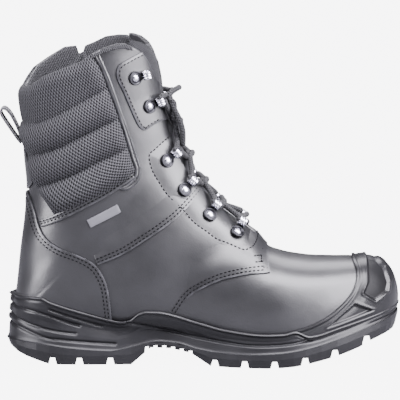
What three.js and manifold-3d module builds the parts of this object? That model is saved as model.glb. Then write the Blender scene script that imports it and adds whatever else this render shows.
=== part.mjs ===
// A right-foot safety boot with a high leg: a hollow leather upper on a moulded rubber sole.
// Millimetres, +X to the toe, +Z up, -Y to the outer (lateral) side of the right foot.
import * as THREE from "three";
import { mergeVertices } from "three/addons/utils/BufferGeometryUtils.js";
import Module from "manifold-3d";

const wasm = await Module();
wasm.setup();

// Driving sizes
const SOLE_LENGTH = 308;
const BALL_WIDTH = 112;
const LEG_HEIGHT = 223; // top of the tongue above the heel seat
const SOLE_RISE = 53; // rear edge of the sole above the floor
const GAP = 0.3; // clearance between pieces that touch

// Thicknesses
const UPPER_WALL = 2.2;
const TONGUE_THICKNESS = 4.5;
const INSOLE_THICKNESS = 4;
const OVERLAY = 1.4;
const TOE_CAP_THICKNESS = 3.1;
const CUP_WALL = 3.2;
const PAD_BASE = 1.6;
const PAD_THICKNESS = 5.2;
const LABEL_THICKNESS = 0.8;
const ZIP_THICKNESS = 1.2;

// Sole details
const CUT_MARGIN = 8; // cutters reach this far past what they cut
const OUTLINE_MARGIN = 40; // side-view outlines reach this far past the sole's ends
const LEDGE_WIDTH = 2; // the tread plate stands out this far under the cup
const CUP_LEAN = 5; // the cup's side leans in by this much more at its top edge
const NOTCH_DEPTH = 5.5;
const NOTCH_TOP = 3.6;
const NOTCH_BOTTOM = 6.4;
const CHANNEL_WIDTH = 5;
const CHANNEL_PLACE = 18; // distance of the long channels from the sole's middle line
const ARCH_RIB_PITCH = 6.8;
const ARCH_RIB_WIDTH = 3;
const ARCH_RIB_DEPTH = 1.4;
const SIDE_GROOVE_DEPTH = 1.3;
const SIDE_GROOVE_WIDTH = 1.8;
const FIN_WIDTH = 3;

// Lace and its hardware
const LACE_DIAMETER = 4.4;
const RIVET_PLATE_RADIUS = 5.4;
const RIVET_RADIUS = 3.4;
const PLATE_THICKNESS = 0.9;
const RIVET_HEIGHT = 1.5;
const RING_OUTER = 4.3;
const RING_INNER = 2.7;
const RING_WIDTH = 4.4;
const HOOK_OPENING = [0.35 * Math.PI, 1.85 * Math.PI]; // an open hook's ends, as turns of its ring
const PLATE_CORNER = 0.6; // turn at which a hardware plate's round end meets its sides
const LOOP_WIDTH = 20;

// The upper's sections fan out from the toe to the collar. Each lies in a plane across the boot, from a
// front point on the ridge to a back point on the feather line or the back of the leg.
// X is a share of the sole's length, height a share of the leg above the seat line, and the sides, the foot
// of the section and its crest are shares of the ball width. The widest place is a share of the way back.
const SECTION_COLUMNS = [
  "frontX", "frontHeight", "backX", "backHeight", "lateral", "medial",
  "widest", "frontRound", "backRound", "footLateral", "footMedial", "crest",
];
const SECTIONS = [
  [0.990, 0.047, 0.988, 0, 0.045, 0.115, 0.60, 2.2, 2.4, 0.050, 0.110, 0.080],
  [0.986, 0.084, 0.984, 0, -0.035, 0.185, 0.62, 2.3, 2.4, -0.030, 0.180, 0.080],
  [0.976, 0.129, 0.972, 0, -0.135, 0.270, 0.66, 2.4, 2.4, -0.125, 0.260, 0.075],
  [0.959, 0.166, 0.953, 0, -0.215, 0.335, 0.70, 2.5, 2.4, -0.200, 0.320, 0.065],
  [0.932, 0.198, 0.922, 0, -0.285, 0.378, 0.72, 2.6, 2.4, -0.268, 0.360, 0.050],
  [0.883, 0.224, 0.873, 0, -0.355, 0.405, 0.74, 2.6, 2.4, -0.335, 0.385, 0.030],
  [0.825, 0.250, 0.812, 0, -0.425, 0.415, 0.75, 2.6, 2.4, -0.400, 0.390, 0.015],
  [0.760, 0.273, 0.744, 0, -0.472, 0.418, 0.76, 2.6, 2.4, -0.445, 0.388, 0.010],
  [0.701, 0.295, 0.679, 0, -0.488, 0.400, 0.76, 2.6, 2.4, -0.455, 0.368, 0.010],
  [0.666, 0.313, 0.610, 0, -0.470, 0.372, 0.76, 2.6, 2.4, -0.430, 0.335, 0.015],
  [0.635, 0.358, 0.536, 0, -0.442, 0.350, 0.75, 2.5, 2.4, -0.385, 0.300, 0.020],
  [0.591, 0.401, 0.455, 0, -0.418, 0.342, 0.74, 2.5, 2.4, -0.340, 0.270, 0.020],
  [0.547, 0.444, 0.364, 0, -0.402, 0.348, 0.71, 2.4, 2.4, -0.305, 0.260, 0.015],
  [0.508, 0.503, 0.260, 0, -0.390, 0.360, 0.65, 2.3, 2.4, -0.280, 0.265, 0.010],
  [0.484, 0.554, 0.149, 0, -0.380, 0.368, 0.59, 2.2, 2.4, -0.265, 0.262, 0.005],
  [0.467, 0.599, 0.075, 0, -0.372, 0.368, 0.55, 2.2, 2.4, -0.235, 0.235, 0],
  [0.456, 0.635, 0.035, 0.004, -0.368, 0.366, 0.52, 2.2, 2.4, -0.130, 0.130, 0],
  [0.449, 0.663, 0.028, 0.018, -0.366, 0.365, 0.51, 2.2, 2.4, 0, 0, 0],
  [0.443, 0.685, 0.030, 0.072, -0.366, 0.365, 0.50, 2.2, 2.4, 0, 0, 0],
  [0.437, 0.708, 0.036, 0.144, -0.368, 0.366, 0.50, 2.2, 2.3, 0, 0, 0],
  [0.431, 0.735, 0.044, 0.251, -0.372, 0.370, 0.50, 2.2, 2.3, 0, 0, 0],
  [0.423, 0.765, 0.055, 0.372, -0.378, 0.376, 0.50, 2.2, 2.2, 0, 0, 0],
  [0.415, 0.800, 0.059, 0.475, -0.386, 0.383, 0.50, 2.2, 2.2, 0, 0, 0],
  [0.407, 0.842, 0.053, 0.574, -0.396, 0.392, 0.50, 2.2, 2.2, 0, 0, 0],
  [0.402, 0.888, 0.049, 0.677, -0.406, 0.402, 0.50, 2.2, 2.2, 0, 0, 0],
  [0.397, 0.942, 0.047, 0.785, -0.414, 0.410, 0.50, 2.2, 2.2, 0, 0, 0],
  [0.394, 0.985, 0.049, 0.888, -0.418, 0.415, 0.50, 2.2, 2.2, 0, 0, 0],
  [0.393, 1.035, 0.058, 1.005, -0.420, 0.417, 0.50, 2.2, 2.2, 0, 0, 0],
];
const FIRST_CLOSED = 17; // from this section on the upper closes round the heel and leg
const ROW_STEPS = 0.82; // rows of facets for each section of the table
const FRONT_FACETS = 5; // facets from the ridge to the widest place, and from there to the back
const BACK_FACETS = 3;

// Plan of the sole: share of its length, then its lateral and medial edge as shares of the ball width
const SOLE_PLAN = [
  [0, 0, 0],
  [0.008, -0.110, 0.110],
  [0.030, -0.205, 0.205],
  [0.080, -0.300, 0.300],
  [0.150, -0.345, 0.345],
  [0.220, -0.350, 0.345],
  [0.320, -0.335, 0.310],
  [0.420, -0.360, 0.280],
  [0.520, -0.430, 0.310],
  [0.620, -0.510, 0.390],
  [0.700, -0.530, 0.450],
  [0.760, -0.515, 0.470],
  [0.840, -0.455, 0.468],
  [0.900, -0.370, 0.440],
  [0.950, -0.265, 0.380],
  [0.980, -0.160, 0.295],
  [0.995, -0.040, 0.200],
  [1, 0.080, 0.080],
];

// Height lines of the sole: share of its length, share of its rear rise
const SEAT_LINE = [
  [0, 0.604], [0.08, 0.583], [0.26, 0.549], [0.36, 0.537], [0.45, 0.502], [0.54, 0.437], [0.62, 0.375],
  [0.70, 0.351], [0.76, 0.380], [0.83, 0.465], [0.88, 0.555], [0.93, 0.628], [0.97, 0.695], [1, 0.760],
];
const LEDGE_LINE = [
  [0, 0.325], [0.09, 0.300], [0.15, 0.253], [0.28, 0.200], [0.33, 0.270], [0.39, 0.345], [0.44, 0.325],
  [0.49, 0.250], [0.55, 0.205], [0.61, 0.195], [0.69, 0.215], [0.77, 0.290], [0.85, 0.422], [0.92, 0.555],
  [0.965, 0.635], [1, 0.720],
];
const EDGE_LINE = [
  [0, 1], [0.09, 0.995], [0.116, 0.930], [0.213, 0.755], [0.268, 0.668], [0.294, 0.642], [0.314, 0.660],
  [0.342, 0.780], [0.360, 0.808], [0.382, 0.808], [0.494, 0.650], [0.558, 0.555], [0.656, 0.498],
  [0.705, 0.508], [0.734, 0.545], [0.770, 0.470], [0.850, 0.590], [0.915, 0.700], [0.965, 0.790], [1, 0.850],
];
const TREAD_LINE = [
  [0, 0.380], [0.003, 0.320], [0.012, 0.240], [0.040, 0.130], [0.115, 0], [0.323, 0], [0.339, 0.234],
  [0.390, 0.272], [0.425, 0.245], [0.480, 0.180], [0.492, 0.035], [0.530, 0], [0.680, 0], [0.745, 0.035],
  [0.770, 0.068], [0.825, 0.140], [0.850, 0.180], [0.900, 0.280], [0.925, 0.355], [0.970, 0.445],
  [0.985, 0.480], [1, 0.600],
];
const HEEL_NOTCHES = [0.122, 0.190, 0.268];
const FOREFOOT_NOTCHES = [0.532, 0.607, 0.682, 0.759, 0.834, 0.915];
const ARCH_RIBS = { first: 0.355, last: 0.472 };

// Interpolation
function clamp(value, low, high) {
  return Math.min(high, Math.max(low, value));
}

function catmullRom(a, b, c, d, t) {
  const slopeB = (c - a) / 2;
  const slopeC = (d - b) / 2;
  const t2 = t * t;
  const t3 = t2 * t;
  return (2 * t3 - 3 * t2 + 1) * b + (t3 - 2 * t2 + t) * slopeB + (3 * t2 - 2 * t3) * c + (t3 - t2) * slopeC;
}

// The entries of a table, read between its rows by a smooth curve
function tableRow(table, place) {
  const last = table.length - 1;
  const i = clamp(Math.floor(place), 0, last - 1);
  const at = (k) => table[clamp(k, 0, last)];
  return table[0].map((_, column) =>
    catmullRom(at(i - 1)[column], at(i)[column], at(i + 1)[column], at(i + 2)[column], place - i));
}

// A height line of the sole as a function of x, with no overshoot between its points
function heightLine(points) {
  const slopes = points.slice(1).map((p, i) => (p[1] - points[i][1]) / (p[0] - points[i][0]));
  const tangents = points.map((_, i) => {
    const before = slopes[Math.max(0, i - 1)];
    const after = slopes[Math.min(slopes.length - 1, i)];
    return before * after <= 0 ? 0 : (2 * before * after) / (before + after);
  });
  return (x) => {
    const share = clamp(x / SOLE_LENGTH, points[0][0], points[points.length - 1][0]);
    let i = 0;
    while (i < points.length - 2 && share > points[i + 1][0]) i += 1;
    const span = points[i + 1][0] - points[i][0];
    const t = (share - points[i][0]) / span;
    const t2 = t * t;
    const t3 = t2 * t;
    const height = (2 * t3 - 3 * t2 + 1) * points[i][1] + (t3 - 2 * t2 + t) * span * tangents[i]
      + (3 * t2 - 2 * t3) * points[i + 1][1] + (t3 - t2) * span * tangents[i + 1];
    return height * SOLE_RISE;
  };
}

// A height line with straight stretches, for the tread
function straightLine(points) {
  return (x) => {
    const share = clamp(x / SOLE_LENGTH, points[0][0], points[points.length - 1][0]);
    let i = 0;
    while (i < points.length - 2 && share > points[i + 1][0]) i += 1;
    const t = (share - points[i][0]) / (points[i + 1][0] - points[i][0]);
    return (points[i][1] + t * (points[i + 1][1] - points[i][1])) * SOLE_RISE;
  };
}

const seatZ = heightLine(SEAT_LINE);
const ledgeZ = heightLine(LEDGE_LINE);
const edgeZ = heightLine(EDGE_LINE);
const treadZ = straightLine(TREAD_LINE);

// Solids
function geometryOf(solid) {
  const mesh = solid.getMesh();
  const geometry = new THREE.BufferGeometry();
  geometry.setAttribute("position", new THREE.BufferAttribute(new Float32Array(mesh.vertProperties), 3));
  geometry.setIndex([...mesh.triVerts]);
  return geometry;
}

function solidOf(geometry) {
  const bare = geometry.clone();
  bare.deleteAttribute("normal");
  bare.deleteAttribute("uv");
  const merged = mergeVertices(bare, 1e-4);
  const index = merged.index.array;
  const kept = [];
  for (let i = 0; i < index.length; i += 3) {
    const [a, b, c] = [index[i], index[i + 1], index[i + 2]];
    if (a !== b && b !== c && a !== c) kept.push(a, b, c);
  }
  return new wasm.Manifold(new wasm.Mesh({
    numProp: 3,
    vertProperties: new Float32Array(merged.attributes.position.array),
    triVerts: new Uint32Array(kept),
  }));
}

// A closed skin over rings of equal length, each end capped from its first point
function skin(rings) {
  const count = rings[0].length;
  const positions = rings.flat().flatMap((p) => [p.x, p.y, p.z]);
  const index = [];
  for (let i = 0; i < rings.length - 1; i += 1) {
    for (let j = 0; j < count; j += 1) {
      const a = i * count + j;
      const b = i * count + ((j + 1) % count);
      index.push(a, b, b + count, a, b + count, a + count);
    }
  }
  const end = (rings.length - 1) * count;
  for (let j = 1; j < count - 1; j += 1) {
    index.push(0, j + 1, j);
    index.push(end, end + j, end + j + 1);
  }
  const geometry = new THREE.BufferGeometry();
  geometry.setAttribute("position", new THREE.Float32BufferAttribute(positions, 3));
  geometry.setIndex(index);
  const solid = solidOf(geometry);
  if (solid.volume() >= 0) return solid;
  geometry.setIndex(index.toReversed());
  return solidOf(geometry);
}

function joined(solids) {
  return solids.reduce((whole, solid) => whole.add(solid));
}

// A prism across the boot with an outline drawn in the side view, as [x, z] points
function sidePrism(outline, fromY = -BALL_WIDTH, toY = BALL_WIDTH) {
  const shape = new THREE.Shape(outline.map(([x, z]) => new THREE.Vector2(x, z)));
  const geometry = new THREE.ExtrudeGeometry(shape, { depth: toY - fromY, bevelEnabled: false });
  geometry.rotateX(Math.PI / 2);
  geometry.translate(0, toY, 0);
  return solidOf(geometry);
}

function smoothOutline(points, steps = 3, closed = true) {
  const curve = new THREE.CatmullRomCurve3(
    points.map(([x, z]) => new THREE.Vector3(x, z, 0)), closed, "centripetal");
  const spans = closed ? points.length : points.length - 1;
  return curve.getPoints(spans * steps).slice(0, closed ? -1 : undefined).map((p) => [p.x, p.y]);
}

// The form of the last
function sectionAt(place) {
  const row = tableRow(SECTIONS, place);
  const named = Object.fromEntries(SECTION_COLUMNS.map((name, i) => [name, row[i]]));
  const frontX = named.frontX * SOLE_LENGTH;
  const backX = named.backX * SOLE_LENGTH;
  return {
    front: new THREE.Vector2(frontX, seatZ(frontX) + named.frontHeight * LEG_HEIGHT),
    back: new THREE.Vector2(backX, seatZ(backX) + Math.max(0, named.backHeight) * LEG_HEIGHT),
    crest: named.crest * BALL_WIDTH,
    sides: [named.lateral * BALL_WIDTH, named.medial * BALL_WIDTH],
    feet: place >= FIRST_CLOSED ? null : [named.footLateral * BALL_WIDTH, named.footMedial * BALL_WIDTH],
    widest: named.widest,
    frontRound: named.frontRound,
    backRound: named.backRound,
  };
}

const LATERAL = 0;
const MEDIAL = 1;

// A point of the last. Turn runs from 0 at the ridge through 1 at the widest place to 2 at the foot or back.
function lastPoint(place, turn, side) {
  const section = sectionAt(place);
  const reach = section.sides[side] - section.crest;
  let share;
  let out;
  if (turn <= 1) {
    const angle = turn * Math.PI / 2;
    const n = section.frontRound;
    const r = (Math.cos(angle) ** n + Math.sin(angle) ** n) ** (-1 / n);
    share = section.widest * (1 - r * Math.cos(angle));
    out = r * Math.sin(angle);
  } else {
    const n = section.backRound;
    const foot = section.feet ? clamp((section.feet[side] - section.crest) / reach, 0, 0.995) : 0;
    const fall = (1 - foot ** n) ** (1 / n);
    const angle = (turn - 1) * Math.atan2(fall, foot);
    const cos = Math.max(0, Math.cos(angle));
    const r = (cos ** n + Math.sin(angle) ** n) ** (-1 / n);
    share = section.widest + (1 - section.widest) * (r * Math.sin(angle) / fall);
    out = r * cos;
  }
  const place2 = section.front.clone().lerp(section.back, share);
  return new THREE.Vector3(place2.x, section.crest + reach * out, place2.y);
}

function lastNormal(place, turn, side) {
  const step = 0.02;
  const low = clamp(place - step, 0, SECTIONS.length - 1);
  const high = clamp(place + step, 0, SECTIONS.length - 1);
  const along = lastPoint(high, turn, side).sub(lastPoint(low, turn, side));
  let across;
  const closed = !sectionAt(place).feet;
  if (turn < step) {
    across = lastPoint(place, step, MEDIAL).sub(lastPoint(place, step, LATERAL));
  } else if (turn > 2 - step && closed) {
    across = lastPoint(place, 2 - step, LATERAL).sub(lastPoint(place, 2 - step, MEDIAL));
  } else {
    across = lastPoint(place, Math.min(2, turn + step), side).sub(lastPoint(place, turn - step, side));
    if (side === LATERAL) across.negate();
  }
  return across.cross(along).normalize();
}

function offsetPoint(place, turn, side, offset) {
  const point = lastPoint(place, turn, side).addScaledVector(lastNormal(place, turn, side), offset);
  if (turn === 2 && offset > 0) point.z -= offset;
  return point;
}

const ROWS = Math.round((SECTIONS.length - 1) * ROW_STEPS);

// The whole last as a solid, grown or shrunk by an offset
function lastSolid(offset) {
  const turns = [];
  for (let k = BACK_FACETS; k > 0; k -= 1) turns.push([1 + k / BACK_FACETS, LATERAL]);
  for (let k = FRONT_FACETS; k > 0; k -= 1) turns.push([k / FRONT_FACETS, LATERAL]);
  for (let k = 0; k < FRONT_FACETS; k += 1) turns.push([k / FRONT_FACETS, MEDIAL]);
  for (let k = 0; k <= BACK_FACETS; k += 1) turns.push([1 + k / BACK_FACETS, MEDIAL]);
  const rings = [];
  for (let i = 0; i <= ROWS; i += 1) {
    const place = (i / ROWS) * (SECTIONS.length - 1);
    rings.push(turns.map(([turn, side]) => offsetPoint(place, turn, side, offset)));
  }
  return skin(rings);
}

// A layer over the last between two offsets
function layer(from, to) {
  return lastSolid(to).subtract(lastSolid(from));
}

// A solid over part of the last: a strip each side of the ridge, between two offsets
function ridgeStrip(fromPlace, toPlace, turnAt, low, high, steps, facets) {
  const rings = [];
  for (let i = 0; i <= steps; i += 1) {
    const place = fromPlace + (i / steps) * (toPlace - fromPlace);
    const edge = turnAt(place);
    const turns = [];
    for (let k = facets; k > 0; k -= 1) turns.push([(edge * k) / facets, LATERAL]);
    for (let k = 0; k <= facets; k += 1) turns.push([(edge * k) / facets, MEDIAL]);
    const top = turns.map(([turn, side]) => offsetPoint(place, turn, side, high));
    const bottom = turns.map(([turn, side]) => offsetPoint(place, turn, side, low));
    rings.push([...top, ...bottom.reverse()]);
  }
  return skin(rings);
}

// Side views of the panels: share of the sole's length, share of the leg's height above the heel seat
const HEEL_SEAT = seatZ(0);
function side(points) {
  return points.map(([x, height]) => [x * SOLE_LENGTH, HEEL_SEAT + height * LEG_HEIGHT]);
}

function grown(outline, distance) {
  const area = THREE.ShapeUtils.area(outline.map(([x, z]) => new THREE.Vector2(x, z)));
  const count = outline.length;
  return outline.map(([x, z], i) => {
    const [ax, az] = outline[(i + count - 1) % count];
    const [bx, bz] = outline[(i + 1) % count];
    const length = Math.hypot(bx - ax, bz - az);
    const turn = Math.sign(area) * distance / length;
    return [x + (bz - az) * turn, z - (bx - ax) * turn];
  });
}

const THROAT_START = 9.05; // place of the throat's lower end in the table of sections
const THROAT_TURNS = [[0.02], [0.13], [0.17], [0.20], [0.24], [0.27], [0.29], [0.30], [0.31], [0.31]];
function throatTurn(place) {
  return tableRow(THROAT_TURNS, clamp(place - THROAT_START, 0, THROAT_TURNS.length - 1))[0];
}
const TOP_PLACE = SECTIONS.length - 1;
const TONGUE_START = 8.4;
const TONGUE_OVERLAP = 0.3; // the tongue's sides reach this much further round than the throat

const COLLAR_LATERAL = side([
  [-0.05, 0.800], [0.030, 0.815], [0.068, 0.830], [0.107, 0.870], [0.135, 0.888], [0.190, 0.917],
  [0.224, 0.949], [0.253, 0.969], [0.286, 0.982], [0.308, 0.982], [0.6, 0.982], [0.6, 1.3], [-0.05, 1.3],
]);
const COLLAR_MEDIAL = side([
  [-0.05, 0.800], [0.030, 0.815], [0.050, 0.823], [0.060, 0.848], [0.074, 0.874], [0.107, 0.899], [0.147, 0.925],
  [0.180, 0.930], [0.187, 0.905], [0.194, 0.936], [0.224, 0.955], [0.253, 0.975], [0.286, 0.982],
  [0.308, 0.982], [0.6, 0.982], [0.6, 1.3], [-0.05, 1.3],
]);
const FACING_TOP = side([
  [0.308, 1.2], [0.308, 0.982], [0.328, 0.969], [0.344, 0.955], [0.357, 0.928], [0.370, 0.890],
  [0.380, 0.854], [0.395, 0.830], [0.5, 0.830], [0.5, 1.2],
]);
const TONGUE_TOP = side([
  [0.2, 1.3], [0.2, 0.985], [0.296, 0.990], [0.331, 0.990], [0.354, 0.983], [0.374, 0.966],
  [0.389, 0.942], [0.400, 0.915], [0.41, 0.90], [0.6, 0.90], [0.6, 1.3],
]);
const CUFF_FRONT = [
  [0.226, 0.943], [0.245, 0.899], [0.262, 0.836], [0.288, 0.733], [0.311, 0.629], [0.322, 0.575], [0.329, 0.548],
  [0.329, 0.526], [0.322, 0.507], [0.309, 0.492],
];
const CUFF_BOTTOM = [[0.266, 0.461], [0.205, 0.418], [0.141, 0.378]];
const CUFF_REAR = [[0.130, 0.380], [0.099, 0.443], [0.078, 0.483], [0.062, 0.585], [0.045, 0.692]];
const CUFF_OUTLINE = side([...CUFF_FRONT, ...CUFF_BOTTOM, ...CUFF_REAR, [-0.05, 0.692], [-0.05, 1.1], [0.18, 1.1]]);
const CUFF_GROOVES = [
  [[-0.05, 1.1], [0.05, 1.1], [0.1, 1.1], [0.15, 1.1], [0.19, 1.1], [0.222, 0.95]],
  [[-0.05, 0.692], [0.083, 0.696], [0.131, 0.724], [0.181, 0.764], [0.230, 0.804], [0.263, 0.829]],
  [[0.066, 0.585], [0.099, 0.594], [0.149, 0.622], [0.197, 0.661], [0.245, 0.696], [0.289, 0.722]],
  [[0.084, 0.471], [0.131, 0.496], [0.181, 0.527], [0.230, 0.566], [0.278, 0.597], [0.312, 0.618]],
  [[0.134, 0.388], [0.141, 0.386], [0.205, 0.426], [0.266, 0.469], [0.306, 0.500], [0.322, 0.530]],
];
const PAD_GROOVE = 2.6; // width of the valley between two pads
const PIPING_OUTER = side([
  [0.245, 0.990], [0.245, 0.943], [0.268, 0.868], [0.296, 0.756], [0.324, 0.643], [0.339, 0.576], [0.345, 0.541],
  [0.338, 0.500], [0.317, 0.474], [0.300, 0.470], [0.18, 0.60], [0.18, 0.990],
]);
const HOOK_PATCH = side([
  [0.346, 0.948], [0.324, 0.934], [0.311, 0.924], [0.295, 0.912], [0.288, 0.899], [0.285, 0.874],
  [0.290, 0.850], [0.304, 0.808], [0.323, 0.743], [0.339, 0.695], [0.350, 0.680], [0.356, 0.677],
  [0.369, 0.689], [0.389, 0.703], [0.50, 0.74], [0.50, 0.95],
]);
const EYESTAY = side([
  [0.413, 0.657], [0.395, 0.639], [0.375, 0.615], [0.362, 0.601], [0.359, 0.578], [0.367, 0.534],
  [0.382, 0.496], [0.406, 0.446], [0.441, 0.397], [0.474, 0.348], [0.505, 0.317], [0.532, 0.290],
  [0.562, 0.274], [0.601, 0.250], [0.617, 0.251], [0.632, 0.260], [0.642, 0.281], [0.646, 0.301],
  [0.70, 0.45], [0.50, 0.70],
]);
const COUNTER = side([
  [-0.03, 0.448], [0.050, 0.448], [0.064, 0.439], [0.079, 0.391], [0.090, 0.338], [0.107, 0.299],
  [0.141, 0.267], [0.189, 0.243], [0.227, 0.215], [0.250, 0.173], [0.263, 0.123], [0.272, 0.022],
  [0.272, -0.10], [-0.03, -0.10],
]);
const BACKSTAY = side([
  [-0.03, 0.458], [0.060, 0.458], [0.0735, 0.483], [0.0575, 0.585], [0.0405, 0.686], [-0.03, 0.686],
]);
const LABEL = side([[0.210, 0.367], [0.286, 0.422], [0.296, 0.394], [0.220, 0.341]]);
const ZIP_LINE = side([[0.187, 0.915], [0.205, 0.664], [0.234, 0.440], [0.269, 0.283], [0.295, 0.126], [0.300, 0.070]]);
const ZIP_TAPE_WIDTH = 14;
const TOE_CAP_REAR = [
  [0.862, 0.500], [0.868, 0.260], [0.880, 0.215], [0.889, 0.180], [0.886, 0.140], [0.868, 0.096],
  [0.825, 0.042], [0.778, 0.008], [0.735, -0.010],
];

// A band in the side view along a line, as wide as given
function band(line, width) {
  const left = [];
  const right = [];
  line.forEach(([x, z], i) => {
    const [ax, az] = line[Math.max(0, i - 1)];
    const [bx, bz] = line[Math.min(line.length - 1, i + 1)];
    const length = Math.hypot(bx - ax, bz - az);
    const [nx, nz] = [-(bz - az) / length, (bx - ax) / length];
    left.push([x + nx * width / 2, z + nz * width / 2]);
    right.push([x - nx * width / 2, z - nz * width / 2]);
  });
  return [...left, ...right.reverse()];
}

// A region of the side view below or above a height line of the sole
function region(lineZ, shift, towardZ) {
  const steps = 48;
  const line = [];
  for (let i = 0; i <= steps; i += 1) {
    const x = (i / steps) * SOLE_LENGTH;
    line.push([x, lineZ(x) + shift]);
  }
  const [before, beyond] = [-OUTLINE_MARGIN, SOLE_LENGTH + OUTLINE_MARGIN];
  return [[before, line[0][1]], ...line, [beyond, line[steps][1]], [beyond, towardZ], [before, towardZ]];
}

// The sole: rings across it, each with levels from bottom to top
const SOLE_STATIONS = 34;
const planAt = (place) => {
  const [x, lateral, medial] = tableRow(SOLE_PLAN, place);
  return { x: x * SOLE_LENGTH, sides: [lateral * BALL_WIDTH, medial * BALL_WIDTH] };
};

function planEdge(place, sideIndex, inset) {
  const last = SOLE_PLAN.length - 1;
  const step = 0.05;
  const here = planAt(place);
  const before = planAt(Math.max(0, place - step));
  const after = planAt(Math.min(last, place + step));
  const dx = after.x - before.x;
  const dy = after.sides[sideIndex] - before.sides[sideIndex];
  const length = Math.hypot(dx, dy);
  const inward = sideIndex === LATERAL ? 1 : -1;
  const atEnd = place === 0 || place === last;
  const shift = atEnd ? [place === 0 ? inset : -inset, 0] : [-inward * dy * inset / length, inward * dx * inset / length];
  return [here.x + shift[0], here.sides[sideIndex] + shift[1]];
}

function soleLayer(levels) {
  const rings = [];
  for (let i = 0; i <= SOLE_STATIONS; i += 1) {
    const place = (i / SOLE_STATIONS) * (SOLE_PLAN.length - 1);
    const edge = (sideIndex) => levels.map(({ inset, height }) => {
      const [x, y] = planEdge(place, sideIndex, inset);
      return new THREE.Vector3(x, y, height(x));
    });
    rings.push([...edge(LATERAL), ...edge(MEDIAL).reverse()]);
  }
  return skin(rings);
}

// A long channel under the sole
function floorChannel(y, fromShare, toShare) {
  const rings = [];
  const steps = 10;
  for (let i = 0; i <= steps; i += 1) {
    const x = (fromShare + (i / steps) * (toShare - fromShare)) * SOLE_LENGTH;
    const top = treadZ(x) + NOTCH_DEPTH * 0.7;
    rings.push([
      new THREE.Vector3(x, y - CHANNEL_WIDTH / 2, -NOTCH_DEPTH),
      new THREE.Vector3(x, y + CHANNEL_WIDTH / 2, -NOTCH_DEPTH),
      new THREE.Vector3(x, y + CHANNEL_WIDTH / 2, top),
      new THREE.Vector3(x, y - CHANNEL_WIDTH / 2, top),
    ]);
  }
  return skin(rings);
}

function notch(share) {
  const x = share * SOLE_LENGTH;
  const floor = treadZ(x);
  return sidePrism([
    [x - NOTCH_TOP / 2, floor + NOTCH_DEPTH], [x + NOTCH_TOP / 2, floor + NOTCH_DEPTH],
    [x + NOTCH_BOTTOM / 2, floor], [x + NOTCH_BOTTOM / 2, floor - CUT_MARGIN],
    [x - NOTCH_BOTTOM / 2, floor - CUT_MARGIN], [x - NOTCH_BOTTOM / 2, floor],
  ]);
}

function makeOutsole() {
  let tread = soleLayer([
    { inset: 1.5, height: treadZ },
    { inset: 0, height: (x) => treadZ(x) + 0.6 * (ledgeZ(x) - treadZ(x)) },
    { inset: 0, height: ledgeZ },
  ]);
  for (const share of [...HEEL_NOTCHES, ...FOREFOOT_NOTCHES]) tread = tread.subtract(notch(share));
  for (const y of [-CHANNEL_PLACE, CHANNEL_PLACE]) {
    tread = tread.subtract(floorChannel(y, 0.10, 0.33)).subtract(floorChannel(y, 0.48, 0.93));
  }
  const pitch = ARCH_RIB_PITCH / SOLE_LENGTH;
  for (let share = ARCH_RIBS.first; share < ARCH_RIBS.last; share += pitch) {
    const x = share * SOLE_LENGTH;
    const top = treadZ(x) + ARCH_RIB_DEPTH;
    tread = tread.subtract(sidePrism([[x, -CUT_MARGIN], [x + ARCH_RIB_WIDTH, -CUT_MARGIN], [x + ARCH_RIB_WIDTH, top], [x, top]]));
  }
  return tread;
}

// Grooves pressed into the cup's side, as shares of the sole's length and of its rear rise
const SIDE_GROOVES = [
  [[0.310, 0.630], [0.407, 0.517], [0.494, 0.415], [0.591, 0.340], [0.656, 0.328], [0.721, 0.357], [0.776, 0.415]],
  [[-0.020, 0.866], [0.083, 0.764], [0.154, 0.632], [0.190, 0.574]],
  [[-0.020, 0.796], [0.045, 0.610], [0.117, 0.500], [0.180, 0.455]],
  [[0.115, 0.810], [0.180, 0.680], [0.246, 0.560]],
  [[-0.020, 0.637], [0.095, 0.400], [0.150, 0.360], [0.280, 0.300]],
];
const FIN = [[0.030, 0.990], [0.013, 1.010], [0.004, 0.850], [-0.001, 0.640], [0.004, 0.600], [0.030, 0.600]];

function makeMidsole() {
  const cupLevels = (extra) => [
    { inset: LEDGE_WIDTH + extra, height: (x) => ledgeZ(x) + GAP },
    { inset: LEDGE_WIDTH + 0.8 + extra, height: (x) => ledgeZ(x) + 0.4 * (edgeZ(x) - ledgeZ(x)) },
    { inset: LEDGE_WIDTH + CUP_LEAN + extra, height: edgeZ },
  ];
  const block = soleLayer(cupLevels(0));
  const collar = lastSolid(CUP_WALL).subtract(sidePrism(region(edgeZ, 0, LEG_HEIGHT * 2)))
    .subtract(sidePrism(region(ledgeZ, GAP, -LEG_HEIGHT)));
  let cup = block.add(collar);
  const toSide = (points) => points.map(([x, z]) => [x * SOLE_LENGTH, z * SOLE_RISE]);
  const core = soleLayer(cupLevels(SIDE_GROOVE_DEPTH)).add(lastSolid(CUP_WALL - SIDE_GROOVE_DEPTH));
  for (const line of SIDE_GROOVES) {
    cup = cup.subtract(sidePrism(band(toSide(line), SIDE_GROOVE_WIDTH)).subtract(core));
  }
  cup = cup.add(sidePrism(toSide(FIN), -FIN_WIDTH / 2, FIN_WIDTH / 2));
  return cup.subtract(lastSolid(GAP));
}

// A point of the feather line, moved inward by an inset
function footEdge(place, sideIndex, inset) {
  const at = (p) => {
    const { back, feet } = sectionAt(clamp(p, 0, FIRST_CLOSED - 0.01));
    return new THREE.Vector2(back.x, feet[sideIndex]);
  };
  const step = 0.1;
  const along = at(place + step).sub(at(place - step)).normalize();
  const inward = sideIndex === LATERAL ? 1 : -1;
  return at(place).add(new THREE.Vector2(along.y, -along.x).multiplyScalar(inset * inward));
}

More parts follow.
